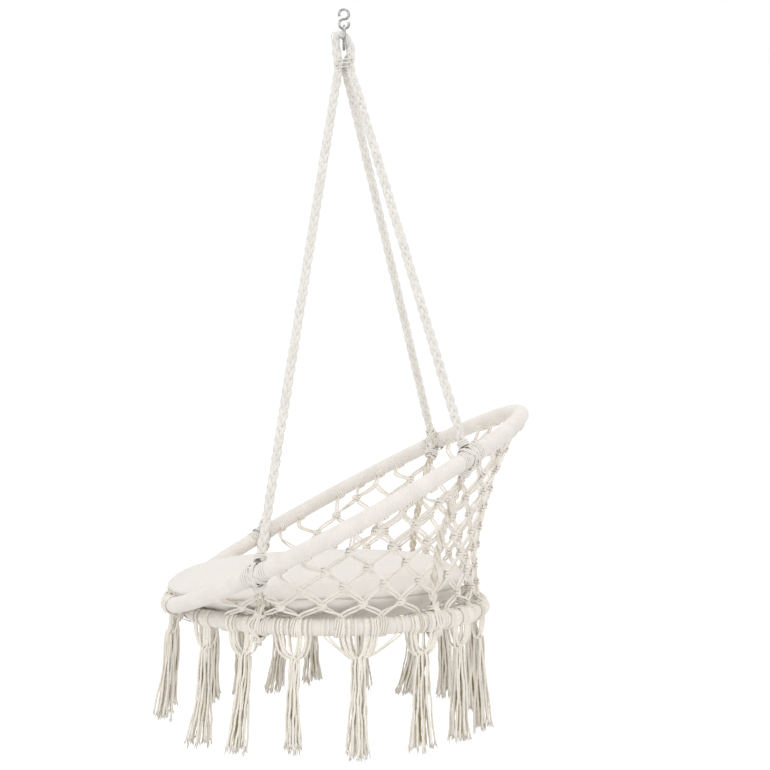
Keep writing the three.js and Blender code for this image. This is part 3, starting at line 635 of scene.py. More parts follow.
def knot_cords(cords, hoop, azimuth, above, below, half, inner=7, outer=0):
    """Cords from a plait's end over the hoop's inner and outer sides to a braid's head."""
    centre = hoop.point(azimuth)[0]
    along = hoop.along(azimuth)[0]
    rise = unit(above - centre)
    drop = unit(below - centre)
    for i in range(inner + outer):
        face = -hoop.radial(azimuth)[0] * (1 if i < inner else -1)
        slot = (i + 0.5) / inner if i < inner else (i - inner + 0.5) / outer
        lateral = (2 * slot - 1) * half * 0.6
        reach = WRAP_RADIUS + CORD * (0.9 + 1.3 * (i % 2))
        middle = centre + along * lateral * (1.15 if i < inner else 0.75) + face * reach
        upper = centre + along * lateral * 0.5 + face * reach * 0.6 + rise * reach
        lower = centre - along * lateral * 0.7 + face * reach * 0.6 + drop * (reach + 2 * MM)
        spread = along * lateral * 0.25 + face * CORD * 1.2
        points = [above + spread + rise * 5 * MM, above + spread, upper, middle, lower, below - spread]
        points.append(below - spread + drop * 6 * MM)
        # Tones differ at random down to 0.4, which mixes in painted shade among the knot's cords.
        cords.add(curve(points, 3 * MM), CORD * 1.1, hint=face, tone=rng.uniform(0.4, 1))


def collar(cords, place, axis, radius, turns):
    """Tight turns round a bundle, a little askew."""
    angle = np.linspace(0, turns * TURN, turns * 16 + 1)
    normal, side = frames(np.array([place, place + axis * MM]), (0.3, 0.2, 0.93))
    rise = np.linspace(-turns, turns, len(angle)) * CORD + 2.5 * MM * np.sin(angle + rng.uniform(0, TURN))
    ring = normal[0] * column(np.cos(angle)) + side[0] * column(np.sin(angle))
    cords.add(place + ring * radius + axis * column(rise), CORD, hint=ring, tone=rng.uniform(0.5, 1))


def rope_knot(azimuth):
    """Where a rope is knotted over the back hoop."""
    cords = Cords()
    centre = back_hoop.point(azimuth)[0]
    inward = -back_hoop.radial(azimuth)[0]
    path = rope_points(1 if azimuth > 0 else -1)
    start = path[0] if abs(azimuth) > 90 else path[-1]
    end = braid_line(azimuth)[-1]
    knot_cords(cords, back_hoop, azimuth, start, end, 24 * MM, inner=9)
    for shift in (-19 * MM, 19 * MM):
        turns_round(cords, back_hoop, azimuth + back_hoop.degrees(shift), 3, 1.5 * MM, flat=0.3)
    for lean in (-8 * MM, 8 * MM):
        turns_round(cords, back_hoop, azimuth, 2, lean, bulk=3 * CORD, flat=0.4)
    rise, drop = unit(start - centre), unit(end - centre)
    collar(cords, start - rise * 5 * MM, rise, 9.5 * MM, 3)
    collar(cords, centre + drop * 27 * MM + inward * 3 * MM, drop, 12.5 * MM, 3)
    collar(cords, centre + drop * 36 * MM, drop, 9.5 * MM, 2)
    return cords


def braid(azimuth):
    """The plait that runs from a rope's knot down the net."""
    cords = Cords()
    line = resample(braid_line(azimuth), 4 * MM)
    out = unit(seat_hoop.radial(azimuth)[0] + np.array([0, 0, 0.2]))
    # A low dim paints shade into the braid's gaps.
    plait(cords, line, out, BRAID_HALF_WIDTH, BRAID_PERIOD, CORD, dim=0.1, core=1.35)
    return cords


def seat_knot(azimuth):
    """Where a braid is knotted over the seat hoop."""
    cords = Cords()
    centre = seat_hoop.point(azimuth)[0]
    above = braid_line(azimuth)[0]
    below = centre + DOWN * SEAT_KNOT_REACH
    knot_cords(cords, seat_hoop, azimuth, above, below, 22 * MM, outer=6)
    for shift in (-17 * MM, 17 * MM):
        turns_round(cords, seat_hoop, azimuth + seat_hoop.degrees(shift), 3, 1.5 * MM, dim=0.35)
    for lean in (-6 * MM, 6 * MM):
        turns_round(cords, seat_hoop, azimuth, 2, lean, bulk=CORD)
    rise = unit(above - centre)
    collar(cords, centre + rise * 27 * MM, rise, 9.5 * MM, 2)
    collar(cords, centre + DOWN * 25 * MM, DOWN, 9.5 * MM, 2)
    return cords


def make_corners():
    """The knots on both hoops, and the braids between them."""
    parts = (
        ("rope_knot", rope_knot, "cords", ROPE_COTTON, "rope"),
        ("braid", braid, "plait", NET_COTTON, "net_cord"),
        ("seat_knot", seat_knot, "cords", NET_COTTON, "net_cord"),
    )
    for part, build, kind, material, slot in parts:
        for corner, azimuth in CORNERS.items():
            dress(build(azimuth), f"{corner}_{part}", kind, material)


# Net


def whole_line(hoop):
    """The hoop's middle line all the way round."""
    return hoop.point(np.arange(-180, 181, 5))


def distance_to_line(points, line):
    """Each point's distance to a line of straight stretches."""
    a, b = line[:-1], line[1:]
    way = b - a
    offset = points[:, None, :] - a[None]
    t = np.clip(np.sum(offset * way, axis=2) / np.sum(way * way, axis=1), 0, 1)
    near = a[None] + way[None] * t[..., None]
    return np.linalg.norm(points[:, None, :] - near, axis=2).min(axis=1)


def net_blocks():
    """What the net's cords end at: lines with a radius."""
    blocks = [(whole_line(hoop), WRAP_RADIUS) for hoop in (seat_hoop, back_hoop)]
    for azimuth in CORNERS.values():
        whole = np.vstack([seat_hoop.point(azimuth), braid_line(azimuth), back_hoop.point(azimuth)])
        blocks.append((whole, BRAID_HALF_WIDTH))
        for hoop, half, radius in ((back_hoop, 29 * MM, 22 * MM), (seat_hoop, 24 * MM, 20 * MM)):
            spread = hoop.degrees(half - radius)
            blocks.append((hoop.point([azimuth - spread, azimuth + spread]), radius))
    return blocks


BLOCKS = net_blocks()


def clearance(points):
    return np.min([distance_to_line(points, line) - radius for line, radius in BLOCKS], axis=0)


def leg_cords(cords, line, out):
    """Two cords side by side along a net's leg, drawn together at its knots."""
    share = np.linspace(0, 1, len(line))
    side = unit(np.cross(unit(np.gradient(line, axis=0)), out))
    turn = rng.choice([0, 0, 1]) * math.pi + rng.normal(0, 0.3)
    for pole in (0, math.pi):
        angle = pole + rng.normal(0, 0.2) + turn * share
        apart = NET_CORD * 0.95 + LEG_GAP * np.sin(math.pi * share)
        path = line + side * column(apart * np.cos(angle)) + out * column(apart * np.sin(angle))
        cords.add(path, NET_CORD, hint=out, tone=rng.uniform(0.5, 1))


def square_knot(cords, place, across, up, out):
    """A flat knot: turns that cross the pair of cords, and a bulge under them."""
    spin = rng.normal(0, 0.12)
    for lift, lean, wide in NET_KNOT_TURNS:
        angle = np.linspace(0, TURN * 1.05, 20)
        x, z = wide * MM * np.cos(angle), 4.5 * MM * np.sin(angle)
        path = place + across * column(x) + out * column(z) + up * column(lift + (lean + spin) * x)
        cords.add(path, NET_CORD, hint=out, tone=rng.uniform(0.5, 1))
    core = place + up * column(np.linspace(-8, 8, 5) * MM)
    width = np.array([3.0, 5.6, 6.6, 5.6, 3.0]) * MM
    cords.add(core, width, width * 0.5, out, sides=8, tone=0.6)


def knot_at(step, row):
    """Azimuth and height of a knot, by half columns and rows."""
    return step * HALF_COLUMN, ROW_FOOT if row == 0 else ROW_START + ROW_HEIGHT * row


def panel_knots(first, last):
    """The panel's knots by half column and row, and whether each is there."""
    rows = math.ceil((REAR_SPAN - ROW_START) / ROW_HEIGHT)
    back_line = whole_line(back_hoop)
    kept = {}
    for step in range(math.ceil(first / HALF_COLUMN) - 1, math.floor(last / HALF_COLUMN) + 2):
        for row in range(rows + 1):
            if (step + row) % 2:
                continue
            azimuth, height = knot_at(step, row)
            place = net_point(azimuth, height)
            room = FOOT_KNOT_ROOM if row == 0 else KNOT_ROOM
            inside = first < azimuth < last and height < span_at(azimuth)[0]
            below = distance_to_line(place, back_line)[0] > WRAP_RADIUS + BACK_KNOT_ROOM
            kept[step, row] = inside and below and clearance(place)[0] > room
    return kept


def panel_cords(first, last):
    """One panel of the net, between two azimuths."""
    cords = Cords()
    kept = panel_knots(first, last)
    posts, hitches = set(), {}
    for (step, row), here in kept.items():
        for side in (-1, 1):
            other = (step + side, row + 1)
            if other not in kept or not (here or kept[other]):
                continue
            low, high = knot_at(step, row), knot_at(*other)
            if here and kept[other]:
                draw_leg(cords, *leg_line(low, high))
            elif here:
                draw_end(cords, low, high, posts, hitches)
            else:
                draw_end(cords, high, low, posts, hitches)
    for knot, here in kept.items():
        if here:
            draw_net_knot(cords, *knot_at(*knot))
    for (_, azimuth), hoop in hitches.items():
        hitch(cords, hoop, azimuth)
    return cords


def leg_line(start, end, reach=1.0):
    """A leg's line in azimuth and height, steepest where it leaves its knots."""
    share = np.linspace(0, reach, int(34 * reach))
    eased = share - 0.5 * np.sin(TURN * share) / TURN
    azimuth = start[0] + (end[0] - start[0]) * eased
    height = start[1] + (end[1] - start[1]) * share
    return azimuth, height


def draw_leg(cords, azimuth, height):
    keep = np.unique(np.linspace(0, len(azimuth) - 1, 13).astype(int))
    azimuth, height = azimuth[keep], height[keep]
    leg_cords(cords, net_point(azimuth, height), net_out(azimuth, height))


def blocked_at(azimuth, height):
    """Where a line on the net runs into a hoop, a braid or a knot; its end if it doesn't."""
    blocked = clearance(net_point(azimuth, height)) < -LEG_SINK
    return int(np.argmax(blocked)) if blocked.any() else len(azimuth)


def post_line(start, goal):
    """A line from a knot towards a column, which turns up into a short post under the back hoop."""
    share = np.linspace(0, 1, 30)
    rise = span_at(goal)[0] - 8 * MM - start[1]
    turn_up = max(0.4, 1 - POST_HEIGHT / rise)
    swing = np.sin(np.minimum(share / turn_up, 1) * math.pi / 2)
    return start[0] + (goal - start[0]) * swing, start[1] + rise * share


def draw_end(cords, start, end, posts, hitches):
    """A leg from a knot to a hoop, a braid or a rope's knot, where a hitch may be due."""
    azimuth, height = leg_line(start, end, 1.8)
    stop = blocked_at(azimuth, height)
    if stop == len(azimuth):
        return
    place = net_point(azimuth[stop], height[stop])[0]
    is_post = on_hoop(back_hoop, place) and end[1] > start[1]
    if is_post:
        goal = end[0] if span_at(end[0])[0] - start[1] > POST_ROOM else start[0]
        if (start, goal) in posts:
            return
        azimuth, height = post_line(start, goal)
        stop = blocked_at(azimuth, height)
    if stop < (3 if is_post else 4):  # too short to show
        return
    azimuth, height = azimuth[: stop + 1], height[: stop + 1]
    if is_post:
        posts.add((start, goal))
        if on_hoop(back_hoop, net_point(azimuth[-1], height[-1])[0]):
            hitches["back", goal] = back_hoop
    elif on_hoop(seat_hoop, place):
        hitches["seat", round(azimuth[-1] / HITCH_STEP) * HITCH_STEP] = seat_hoop
    draw_leg(cords, azimuth, height)


def on_hoop(hoop, place):
    offset = place - hoop.centre
    return abs(np.linalg.norm(offset) - hoop.radius) < 20 * MM and abs(offset @ hoop.up) < 22 * MM


def draw_net_knot(cords, azimuth, height):
    place = net_point(azimuth, height)[0]
    across = unit(net_point(azimuth + 1, height)[0] - net_point(azimuth - 1, height)[0])
    out = net_out(azimuth, height)[0]
    up = np.cross(out, across)
    square_knot(cords, place, across, up, out)


def make_net():
    panels = {
        "net_rear": (-REAR_KNOT, REAR_KNOT),
        "net_left": (-FRONT_KNOT, -REAR_KNOT),
        "net_right": (REAR_KNOT, FRONT_KNOT),
        "net_front_left": (-158, -FRONT_KNOT),
        "net_front_right": (FRONT_KNOT, 158),
    }
    for name, (first, last) in panels.items():
        cords = panel_cords(first, last)
        if "front" not in name:
            step = HITCH_STEP if name == "net_rear" else 2 * HITCH_STEP
            for azimuth in np.arange(math.ceil(first / step) * step, last, step):
                start = rng.random()
                turns_round(cords, seat_hoop, azimuth, 4, 2.2 * MM, start, bulk=1 * MM, dim=0.35)
        dress(cords, name, "cords", NET_COTTON)


def seat_net_point(x, y):
    share = np.minimum(1, np.hypot(x, y) / SEAT_RADIUS)
    z = -SEAT_NET_SAG * (1 - share**2) - SEAT_NET_DROP
    return np.stack([x, y, z], axis=-1) + np.array(SEAT_CENTRE)


def make_seat_net():
    cords = Cords()
    half = SEAT_NET_PITCH / 2
    reach = math.ceil(SEAT_RADIUS / half)
    across, up, out = np.eye(3)
    edge = SEAT_RADIUS - WRAP_RADIUS - SEAT_NET_ROOM
    steps = np.linspace(0, 1, 14).reshape(-1, 1)
    for i in range(-reach, reach + 1):
        for j in range(-reach, reach + 1):
            if (i + j + reach) % 2:
                continue
            here = np.array([i, j]) * half
            inside = np.hypot(*here) < edge
            if inside:
                square_knot(cords, seat_net_point(*here), across, up, out)
            for side in (-1, 1):
                other = here + np.array([side, 1]) * half
                if not (inside or np.hypot(*other) < edge):
                    continue
                flat = here + (other - here) * steps
                flat = flat[np.hypot(flat[:, 0], flat[:, 1]) < SEAT_RADIUS - 8 * MM]
                if len(flat) > 3:
                    line = seat_net_point(flat[:, 0], flat[:, 1])
                    leg_cords(cords, line, np.broadcast_to(out, line.shape))
    dress(cords, "net_seat", "cords", NET_COTTON)


# Bindings


def binding(azimuth):
    """A coil round the seat hoop and the back hoop beside it."""
    cords = Cords()
    seat = seat_hoop.point(azimuth)[0]
    beside = 180 - math.degrees(math.asin((seat[1] - BACK_CENTRE[1]) / BACK_RADIUS))
    back = back_hoop.point(beside)[0]
    along = unit(seat_hoop.along(azimuth)[0] + back_hoop.along(beside)[0])
    across = back - seat
    across = across - along * (across @ along)
    apart = np.linalg.norm(across)
    across = across / apart
    up = np.cross(along, across)
    angle = np.linspace(0, BIND_LOOPS * TURN, BIND_LOOPS * 26)
    reach = WRAP_RADIUS + BIND_CORD * 0.7 + 0.6 * MM
    x = np.clip(6 * np.cos(angle), -1, 1) * apart / 2 + reach * np.cos(angle)
    y = reach * np.sin(angle)
    z = np.linspace(-0.5, 0.5, len(angle)) * BIND_LOOPS * BIND_CORD * COIL_PITCH
    path = (seat + back) / 2 + across * column(x) + up * column(y) + along * column(z)
    ring = across * column(np.cos(angle)) + up * column(np.sin(angle))
    cords.add(path, BIND_CORD, BIND_CORD * 0.7, ring, tone=0.9)
    return cords


def make_bindings():
    for i, azimuth in enumerate(BIND_AZIMUTHS):
        dress(binding(azimuth), f"hoop_binding_{i + 1}", "cord", WRAP_COTTON)


# Tassels


def strand_places(local):
    """Where a tassel's strands hang across its skirt, from the front side to the rear side."""
    index = np.arange(TASSEL_STRANDS)
    reach = np.sqrt((index + 0.6) / TASSEL_STRANDS)
    angle = index * 2.4 + local.uniform(0, TURN)
    places = np.stack([reach * np.cos(angle), reach * np.sin(angle), reach], axis=1)
    return places[np.argsort(places[:, 0])]


def over_hoop(hoop, azimuth, degrees, lifts):
    """Places for a cord over a hoop, at angles round its tube, from inside its wrap."""
    reach = WRAP_RADIUS + CORD * np.array(lifts)
    return hoop.around(np.full(len(lifts), azimuth), np.radians(degrees), column(reach))[0]


def tassel_arm(hoop, azimuth, lateral, face, share, throat):
    """A strand over the hoop towards its outer or inner face, and in a U to the throat."""
    degrees = [110, 60, 15, -25, -60] if face > 0 else [70, 120, 165, 205, 240]
    over = over_hoop(hoop, azimuth + hoop.degrees(lateral), degrees, [-0.6, 0.6, 0.85, 0.85, 0.85])
    low = over[-1]
    deep = DOWN * (low[2] - throat[2])
    aside = throat - low
    aside[2] = 0
    bend = [low + aside * a + deep * b for a, b in ((0.06, 0.3), (0.3, 0.66 + 0.08 * share), (0.7, 0.93))]
    return [*over, *bend, throat]


def tassel(hoop, azimuth, width, length, lean, seed):
    """Cords doubled over a hoop in two arms, drawn together in a throat over a hanging skirt."""
    cords = Cords()
    local = np.random.default_rng(seed)
    centre = hoop.point(azimuth)[0]
    out, along = hoop.radial(azimuth)[0], hoop.along(azimuth)[0]
    out = unit(out * np.array([1, 1, 0]))
    half = TASSEL_STRANDS // 2
    lean = np.array([lean * MM, 0, 0]) + out * local.normal(0, 4 * MM)
    bow = along * local.normal(0, 3 * MM)
    phase = local.uniform(0, TURN)
    for i, (aside, deep, reach) in enumerate(strand_places(local)):
        side = -1 if i < half else 1
        share = (half - 1 - i if i < half else i - half) / (half - 1)
        face = 1 if i % 3 else -1
        cross = -0.8 if i % 5 == 2 else 1  # a few strands cross over to the other arm
        lateral = side * (8.5 + 24 * share) * cross * MM + local.normal(0, 1.5 * MM)
        neck = along * aside * max(9.5, width * 0.66) * MM + out * deep * 8 * MM
        fan = along * aside * width * MM + out * deep * 0.9 * width * MM
        throat = centre + neck + DOWN * (TASSEL_THROAT + (4 * share - 2) * MM)
        points = tassel_arm(hoop, azimuth, lateral, face, share, throat)
        fall = length * MM - TASSEL_THROAT + local.normal(-10 * MM, 5 * MM)
        for t in np.linspace(0.08, 1, 9):
            flare = 0.35 * max(0, t - 0.55) ** 1.3 / 0.45**1.3
            spread = (fan - neck) * t**0.6 + fan * flare + lean * t**1.6 + bow * math.sin(math.pi * t)
            turn = phase + i * 2.1 + t * 9
            wave = (along * math.cos(turn) + out * math.sin(turn)) * 1.2 * MM
            wave = wave + along * math.sin(phase * 3 + i * 1.3 + t * 23) * 0.9 * MM
            points.append(throat + spread + wave + DOWN * fall * t)
        path = curve(points, 4.5 * MM)
        # Painted shade: strands nearer the skirt's middle get lower tones, so the shade colour shows between
        # them, with some random spread; near the throat all strands take one tone.
        below = np.clip((throat[2] - path[:, 2]) / (30 * MM), 0, 1)
        tone = np.clip(1.5 * reach - 0.35 + local.uniform(0, 0.25), 0, 1)
        tone = 0.85 + (tone - 0.85) * below
        radius = CORD * local.uniform(0.94, 1.08)
        knobs = 1 + 0.11 * np.sin(np.arange(len(path)) * 2.4 + i * 1.7)
        cords.add(path, radius * knobs, hint=out, tone=tone)
        fray(cords, path, radius, local)
    return cords


def fray(cords, path, radius, local):
    """The loose plies at a strand's end."""
    tip = path[-1]
    way = unit(path[-1] - path[-3])
    for _ in range(7):
        aside = local.normal(0, 1, 3)
        aside = unit(aside - way * (aside @ way))
        start = tip - way * 8 * MM + aside * radius * 0.5
        middle = tip + aside * local.uniform(1.2, 2.6) * MM
        end = middle + way * local.uniform(4, 10) * MM + aside * local.uniform(0, 3) * MM
        width = np.array([0.8, 0.7, 0.3]) * MM
        cords.add(np.array([start, middle, end]), width, hint=aside, sides=3, tone=0.8)


def swags(cords):
    """The widest tassel's thin doubled cords, which hang from further along the hoop."""
    azimuth = TASSELS[SWAG_TASSEL[0]][SWAG_TASSEL[1]][0]
    throat = seat_hoop.point(azimuth)[0] + DOWN * TASSEL_THROAT
    sag = DOWN * 9 * MM
    for lateral in SWAG_REACH:
        place = azimuth + seat_hoop.degrees(lateral)
        over = over_hoop(seat_hoop, place, [120, 60, 0, -50], [-0.6, 0.7, 0.8, 0.8])
        low = over[-1]
        aside = throat - low
        points = [*over, low + aside * 0.33 + sag * 0.7, low + aside * 0.7 + sag, throat]
        cords.add(curve(points, 4 * MM), CORD * 0.85, hint=seat_hoop.radial(azimuth)[0], tone=0.9)


def make_tassels():
    for group, rows in TASSELS.items():
        hoop = back_hoop if group == "front" else seat_hoop
        for i, (azimuth, width, length, lean) in enumerate(rows):
            cords = tassel(hoop, azimuth, width, length, lean, 100 + 10 * i + len(group))
            if (group, i) == SWAG_TASSEL:
                swags(cords)
            dress(cords, f"tassel_{group}_{i + 1}", "strands", TASSEL_COTTON)


# Hardware


def make_hardware():
    hook = Cords()
    upper_z, lower_z = HOOK_WIRE - HOOK_BEND, HOOK_WIRE - 3 * HOOK_BEND
    upper = np.radians(np.linspace(205, -90, 60))
    lower = np.radians(np.linspace(90, 385, 60))[1:]
    x = np.concatenate([np.cos(upper), np.cos(lower)]) * HOOK_BEND
    z = np.concatenate([upper_z + np.sin(upper) * HOOK_BEND, lower_z + np.sin(lower) * HOOK_BEND])
    width = np.full(len(x), HOOK_WIRE)
    width[[0, -1]] *= 0.72  # the cut ends are a little narrower
    hook.add(np.stack([x, np.zeros_like(x), z], axis=1), width, hint=(0, 1, 0), sides=20)
    dress(hook, "s_hook", "wire", WIRE_STEEL, "hook")
    ring = Cords()
    angle = np.linspace(0, TURN, 97)
    y, z = RING_BEND * np.sin(angle), RING_Z + RING_BEND * np.cos(angle)
    ring.add(np.stack([np.zeros_like(y), y, z], axis=1), RING_WIRE, hint=(1, 0, 0), sides=20)
    dress(ring, "hanging_ring", "wire", WIRE_STEEL, "ring")


# Cushion


def cushion_height(share, rearward, upper):
    """Height over the hoop's middle at a share of the radius; the rear rides up the net."""
    seam = CUSHION_SEAM + share * CUSHION_RADIUS * rearward * CUSHION_TILT
    if upper:
        crown = CUSHION_TOP - np.minimum(seam, CUSHION_SEAM)
        return seam + crown * np.maximum(1 - share**3.2, 0) ** 0.52
    free = np.clip((rearward + 0.45) / 0.45, 0, 1)
    free = free * free * (3 - 2 * free)
    front = 1.6 + np.where(rearward > 0, 2.4, 0.7) * rearward
    fullness = front + (3.2 + rearward - front) * free
    rise = 1 - np.sqrt(np.maximum(1 - share**fullness, 0))
    return CUSHION_BOTTOM + rise * (seam - CUSHION_BOTTOM)


def cushion_shape(scale, around=CUSHION_SECTORS, rings=18):
    """The cushion's points and faces, from the middle of its underside to its crown."""
    azimuth = np.linspace(0, TURN, around, endpoint=False)
    shares = np.sin(np.linspace(0, math.pi / 2, rings))[1:]
    rows = [(share, False) for share in shares] + [(share, True) for share in shares[::-1][1:]]
    points = [[0, 0, CUSHION_BOTTOM]]
    for share, upper in rows:
        height = cushion_height(np.full(around, share), np.cos(azimuth), upper)
        radius = CUSHION_RADIUS * share
        points.extend(np.stack([radius * np.cos(azimuth), radius * np.sin(azimuth), height], axis=1))
    points.append([0, 0, CUSHION_TOP])
    points = np.array(points)
    middle = np.array([0, 0, (CUSHION_SEAM + CUSHION_BOTTOM) / 2])
    points = middle + (points - middle) * scale
    points += CUSHION_CENTRE
    turn = [[i, (i + 1) % around] for i in range(around)]
    faces = [[0, 1 + j, 1 + i] for i, j in turn]
    for row in range(len(rows) - 1):
        low, high = 1 + row * around, 1 + (row + 1) * around
        faces += [[low + i, low + j, high + j, high + i] for i, j in turn]
    last = 1 + (len(rows) - 1) * around
    faces += [[last + i, last + j, len(points) - 1] for i, j in turn]
    return points, faces


def run_modifier(piece, kind, **settings):
    modifier = piece.modifiers.new(kind.lower(), kind)
    for key, value in settings.items():
        setattr(modifier, key, value)
    depsgraph = bpy.context.evaluated_depsgraph_get()
    made = bpy.data.meshes.new_from_object(piece.evaluated_get(depsgraph))
    piece.modifiers.clear()
    piece.data = made


def places_of(mesh):
    flat = np.empty(3 * len(mesh.vertices), np.float32)
    mesh.vertices.foreach_get("co", flat)
    return flat.reshape(-1, 3).astype(float)


def swell(piece):
    """Fills the closed cloth with air, and caps how far any point moves."""
    before = places_of(piece.data)
    cloth = piece.modifiers.new("air", "CLOTH")
    cloth.settings.use_pressure = True
    cloth.settings.uniform_pressure_force = 4
    cloth.settings.effector_weights.gravity = 0
    for step in range(1, CLOTH_FRAMES + 1):
        SCENE.frame_set(step)
    depsgraph = bpy.context.evaluated_depsgraph_get()
    after = places_of(piece.evaluated_get(depsgraph).data)
    piece.modifiers.clear()
    SCENE.frame_set(1)
    move = after - before
    far = np.linalg.norm(move, axis=1, keepdims=True)
    after = before + move * np.minimum(1, CUSHION_SWELL / np.maximum(far, 1e-9))
    piece.data.vertices.foreach_set("co", after.astype(np.float32).ravel())


def crease_height(reach, rearward):
    """The sewn crease: at the rim's widest line in front, and lower on the side band at the rear."""
    return CUSHION_SEAM + reach * np.minimum(rearward, 0) * CUSHION_TILT - 7 * MM * np.maximum(rearward, 0)


def from_centre(places):
    """Offsets from the cushion's centre, how far out they reach, and their azimuths."""
    offset = places - CUSHION_CENTRE
    return offset, np.hypot(offset[:, 0], offset[:, 1]), np.arctan2(offset[:, 1], offset[:, 0])


def fit_cushion(places):
    """Draws the swelled cover out to its rim, keeps it off the hoops and the net, and creases its seam."""
    offset, reach, azimuth = from_centre(places)
    rearward = offset[:, 0] / np.maximum(reach, 1e-9)
    sector = np.round((azimuth + math.pi) / TURN * CUSHION_SECTORS).astype(int)
    rims = np.zeros(CUSHION_SECTORS + 1)
    np.maximum.at(rims, sector, reach)
    rims[[0, -1]] = max(rims[0], rims[-1])
    rim = np.interp(azimuth, np.linspace(-math.pi, math.pi, CUSHION_SECTORS + 1), rims)
    goal = CUSHION_RADIUS + 2 * MM + 4 * MM * np.maximum(-rearward, 0) ** 4
    reach_out = reach * (1 + (goal / rim - 1) * np.minimum(reach / rim, 1) ** 6)
    share = np.minimum(reach_out / goal, 1)
    lowest = cushion_height(share, rearward, False)
    seam = CUSHION_SEAM + reach_out * rearward * CUSHION_TILT
    highest = cushion_height(share, rearward, True) + 3 * MM * (1 - share**8)
    middle = (seam + CUSHION_BOTTOM) / 2
    height = np.where(offset[:, 2] < middle, np.maximum(offset[:, 2], lowest), offset[:, 2])
    height = np.minimum(height, np.maximum(highest, lowest + 1 * MM))
    near = np.exp(-((height - seam) / (13 * MM)) ** 2) * share**12
    ripple = np.sin(azimuth * 41 + 2.2 * np.sin(azimuth * 5)) + 0.6 * np.sin(azimuth * 23 + 1)
    crease = crease_height(reach_out, rearward)
    groove = np.exp(-((height - crease) / (2.6 * MM)) ** 2) * share**12
    limit = reach_out + 0.9 * MM * ripple * near - 2.6 * MM * groove
    factor = limit / np.maximum(reach, 1e-9)
    fitted = np.stack([offset[:, 0] * factor, offset[:, 1] * factor, height], axis=1)
    return fitted + CUSHION_CENTRE


def cushion_seams(places):
    """Stitched cord in the groove round the rim, and down the side where the band is joined."""
    cords = Cords()
    offset, reach, azimuth = from_centre(places)
    crease = crease_height(reach, np.cos(azimuth))

    def reaches(a, height, least):
        """How far out the cover is around one azimuth and height."""
        apart = np.abs((azimuth - a + math.pi) % TURN - math.pi)
        level = np.abs(offset[:, 2] - height) < 4 * MM
        return reach[(apart < 0.03) & level & (reach > least * CUSHION_RADIUS)]

    line = []
    for a in np.linspace(-math.pi, math.pi, 121):
        near = reaches(a, crease, 0.9)
        r = near.mean() if len(near) else CUSHION_RADIUS
        line.append([r * math.cos(a), r * math.sin(a), crease_height(r, math.cos(a))])
    cords.add(curve(CUSHION_CENTRE + np.array(line), 4 * MM), 1.1 * MM, tone=0.8)
    a = CUSHION_JOIN
    drop = []
    for height in np.linspace(CUSHION_SEAM - 1 * MM, 14 * MM, 8):
        near = reaches(a, height, 0.6)
        r = near.max() if len(near) else 0.95 * CUSHION_RADIUS
        drop.append([r * math.cos(a), r * math.sin(a), height])
    cords.add(curve(CUSHION_CENTRE + np.array(drop), 4 * MM), 0.9 * MM, hint=(0, 1, 0), tone=0.0)
    return cords


def make_cushion():
    points, faces = cushion_shape(CUSHION_START)
    mesh = bpy.data.meshes.new("seat_cushion_cover")
    mesh.from_pydata(points.tolist(), [], faces)
    piece = place_piece("seat_cushion_cover", mesh, CUSHION_CLOTH, "cushion")
    run_modifier(piece, "REMESH", mode="VOXEL", voxel_size=CUSHION_VOXEL)
    swell(piece)
    run_modifier(piece, "SUBSURF", levels=1, render_levels=1)
    fitted = fit_cushion(places_of(piece.data))
    piece.data.vertices.foreach_set("co", fitted.astype(np.float32).ravel())
    piece.data.polygons.foreach_set("use_smooth", np.ones(len(piece.data.polygons), bool))
    piece.data.materials.clear()
    piece.data.materials.append(CUSHION_CLOTH)
    piece.data.update()
    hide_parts("seat_cushion")
    seams = cushion_seams(fitted).make("seat_cushion_seams", SEAM_THREAD, "cushion")


# Surroundings


def aimed(name, data, place, way):
    made = new_object(name, data)
    made.location = place
    made.rotation_euler = Vector(way).to_track_quat("-Z", "Y").to_euler()
    return made


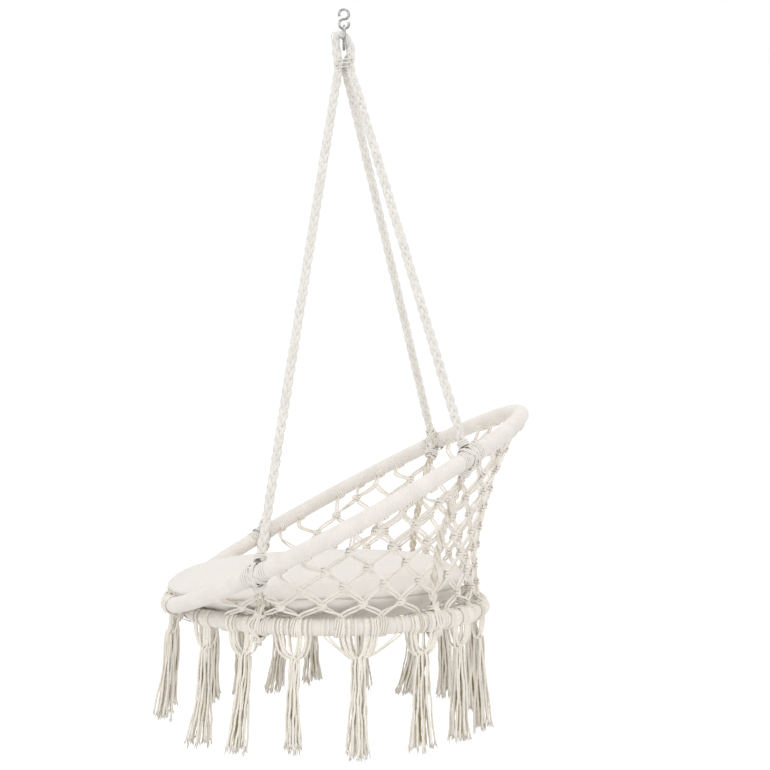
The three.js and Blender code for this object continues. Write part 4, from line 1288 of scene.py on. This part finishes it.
def make_camera():
    data = bpy.data.cameras.new("camera")
    data.lens = CAMERA_LENS
    data.sensor_width = 36
    yaw, pitch = math.radians(CAMERA_YAW), math.radians(CAMERA_PITCH)
    way = (math.sin(yaw) * math.cos(pitch), math.cos(yaw) * math.cos(pitch), math.sin(pitch))
    SCENE.camera = aimed("camera", data, CAMERA_PLACE, way)


def area_light(name, place, size, power):
    data = bpy.data.lights.new(name, "AREA")
    data.size = size
    data.energy = power
    aimed(name, data, place, Vector(LIGHT_AIM) - Vector(place))


def make_floor():
    """A pale floor, a little brighter to the camera, which keeps the chair's shadow."""
    mesh = bpy.data.meshes.new("floor")
    corners = ((-1, -1), (1, -1), (1, 1), (-1, 1))
    mesh.from_pydata([(x * FLOOR_SIZE, y * FLOOR_SIZE, FLOOR_Z) for x, y in corners], [], [(0, 1, 2, 3)])
    s = new_shader("pale_floor")
    s.fill(s.surface, Base_Color=(0.93, 0.93, 0.93, 1), Roughness=1.0, Specular_IOR_Level=0.0)
    seen = s.node("LightPath").outputs["Is Camera Ray"]
    both = s.node("AddShader")
    s.feed(both.inputs[0], s.surface.outputs[0])
    s.feed(both.inputs[1], s.fill(s.node("Emission"), Strength=s.math("MULTIPLY", seen, FLOOR_GLOW)))
    s.feed(s.tree.nodes["Material Output"].inputs["Surface"], both.outputs[0])
    mesh.materials.append(s.owner)
    new_object("floor", mesh)


def make_world():
    """White all round, a little dimmer as a light than as the camera and shiny steel see it."""
    SCENE.world = bpy.data.worlds.new("studio")
    s = Shader(SCENE.world, "Background")
    rays = s.node("LightPath").outputs
    seen = s.math("MAXIMUM", rays["Is Camera Ray"], rays["Is Glossy Ray"])
    s.fill(s.surface, Color=(1, 1, 1, 1), Strength=s.ramp(seen, to_low=0.9))


def make_studio():
    make_floor()
    make_world()
    for row in LIGHTS:
        area_light(*row)
    SCENE.view_settings.view_transform = "Standard"


make_camera()
make_studio()
make_hardware()
make_ropes()
make_lashing()
make_wraps()
make_corners()
make_net()
make_seat_net()
make_bindings()
make_tassels()
make_cushion()
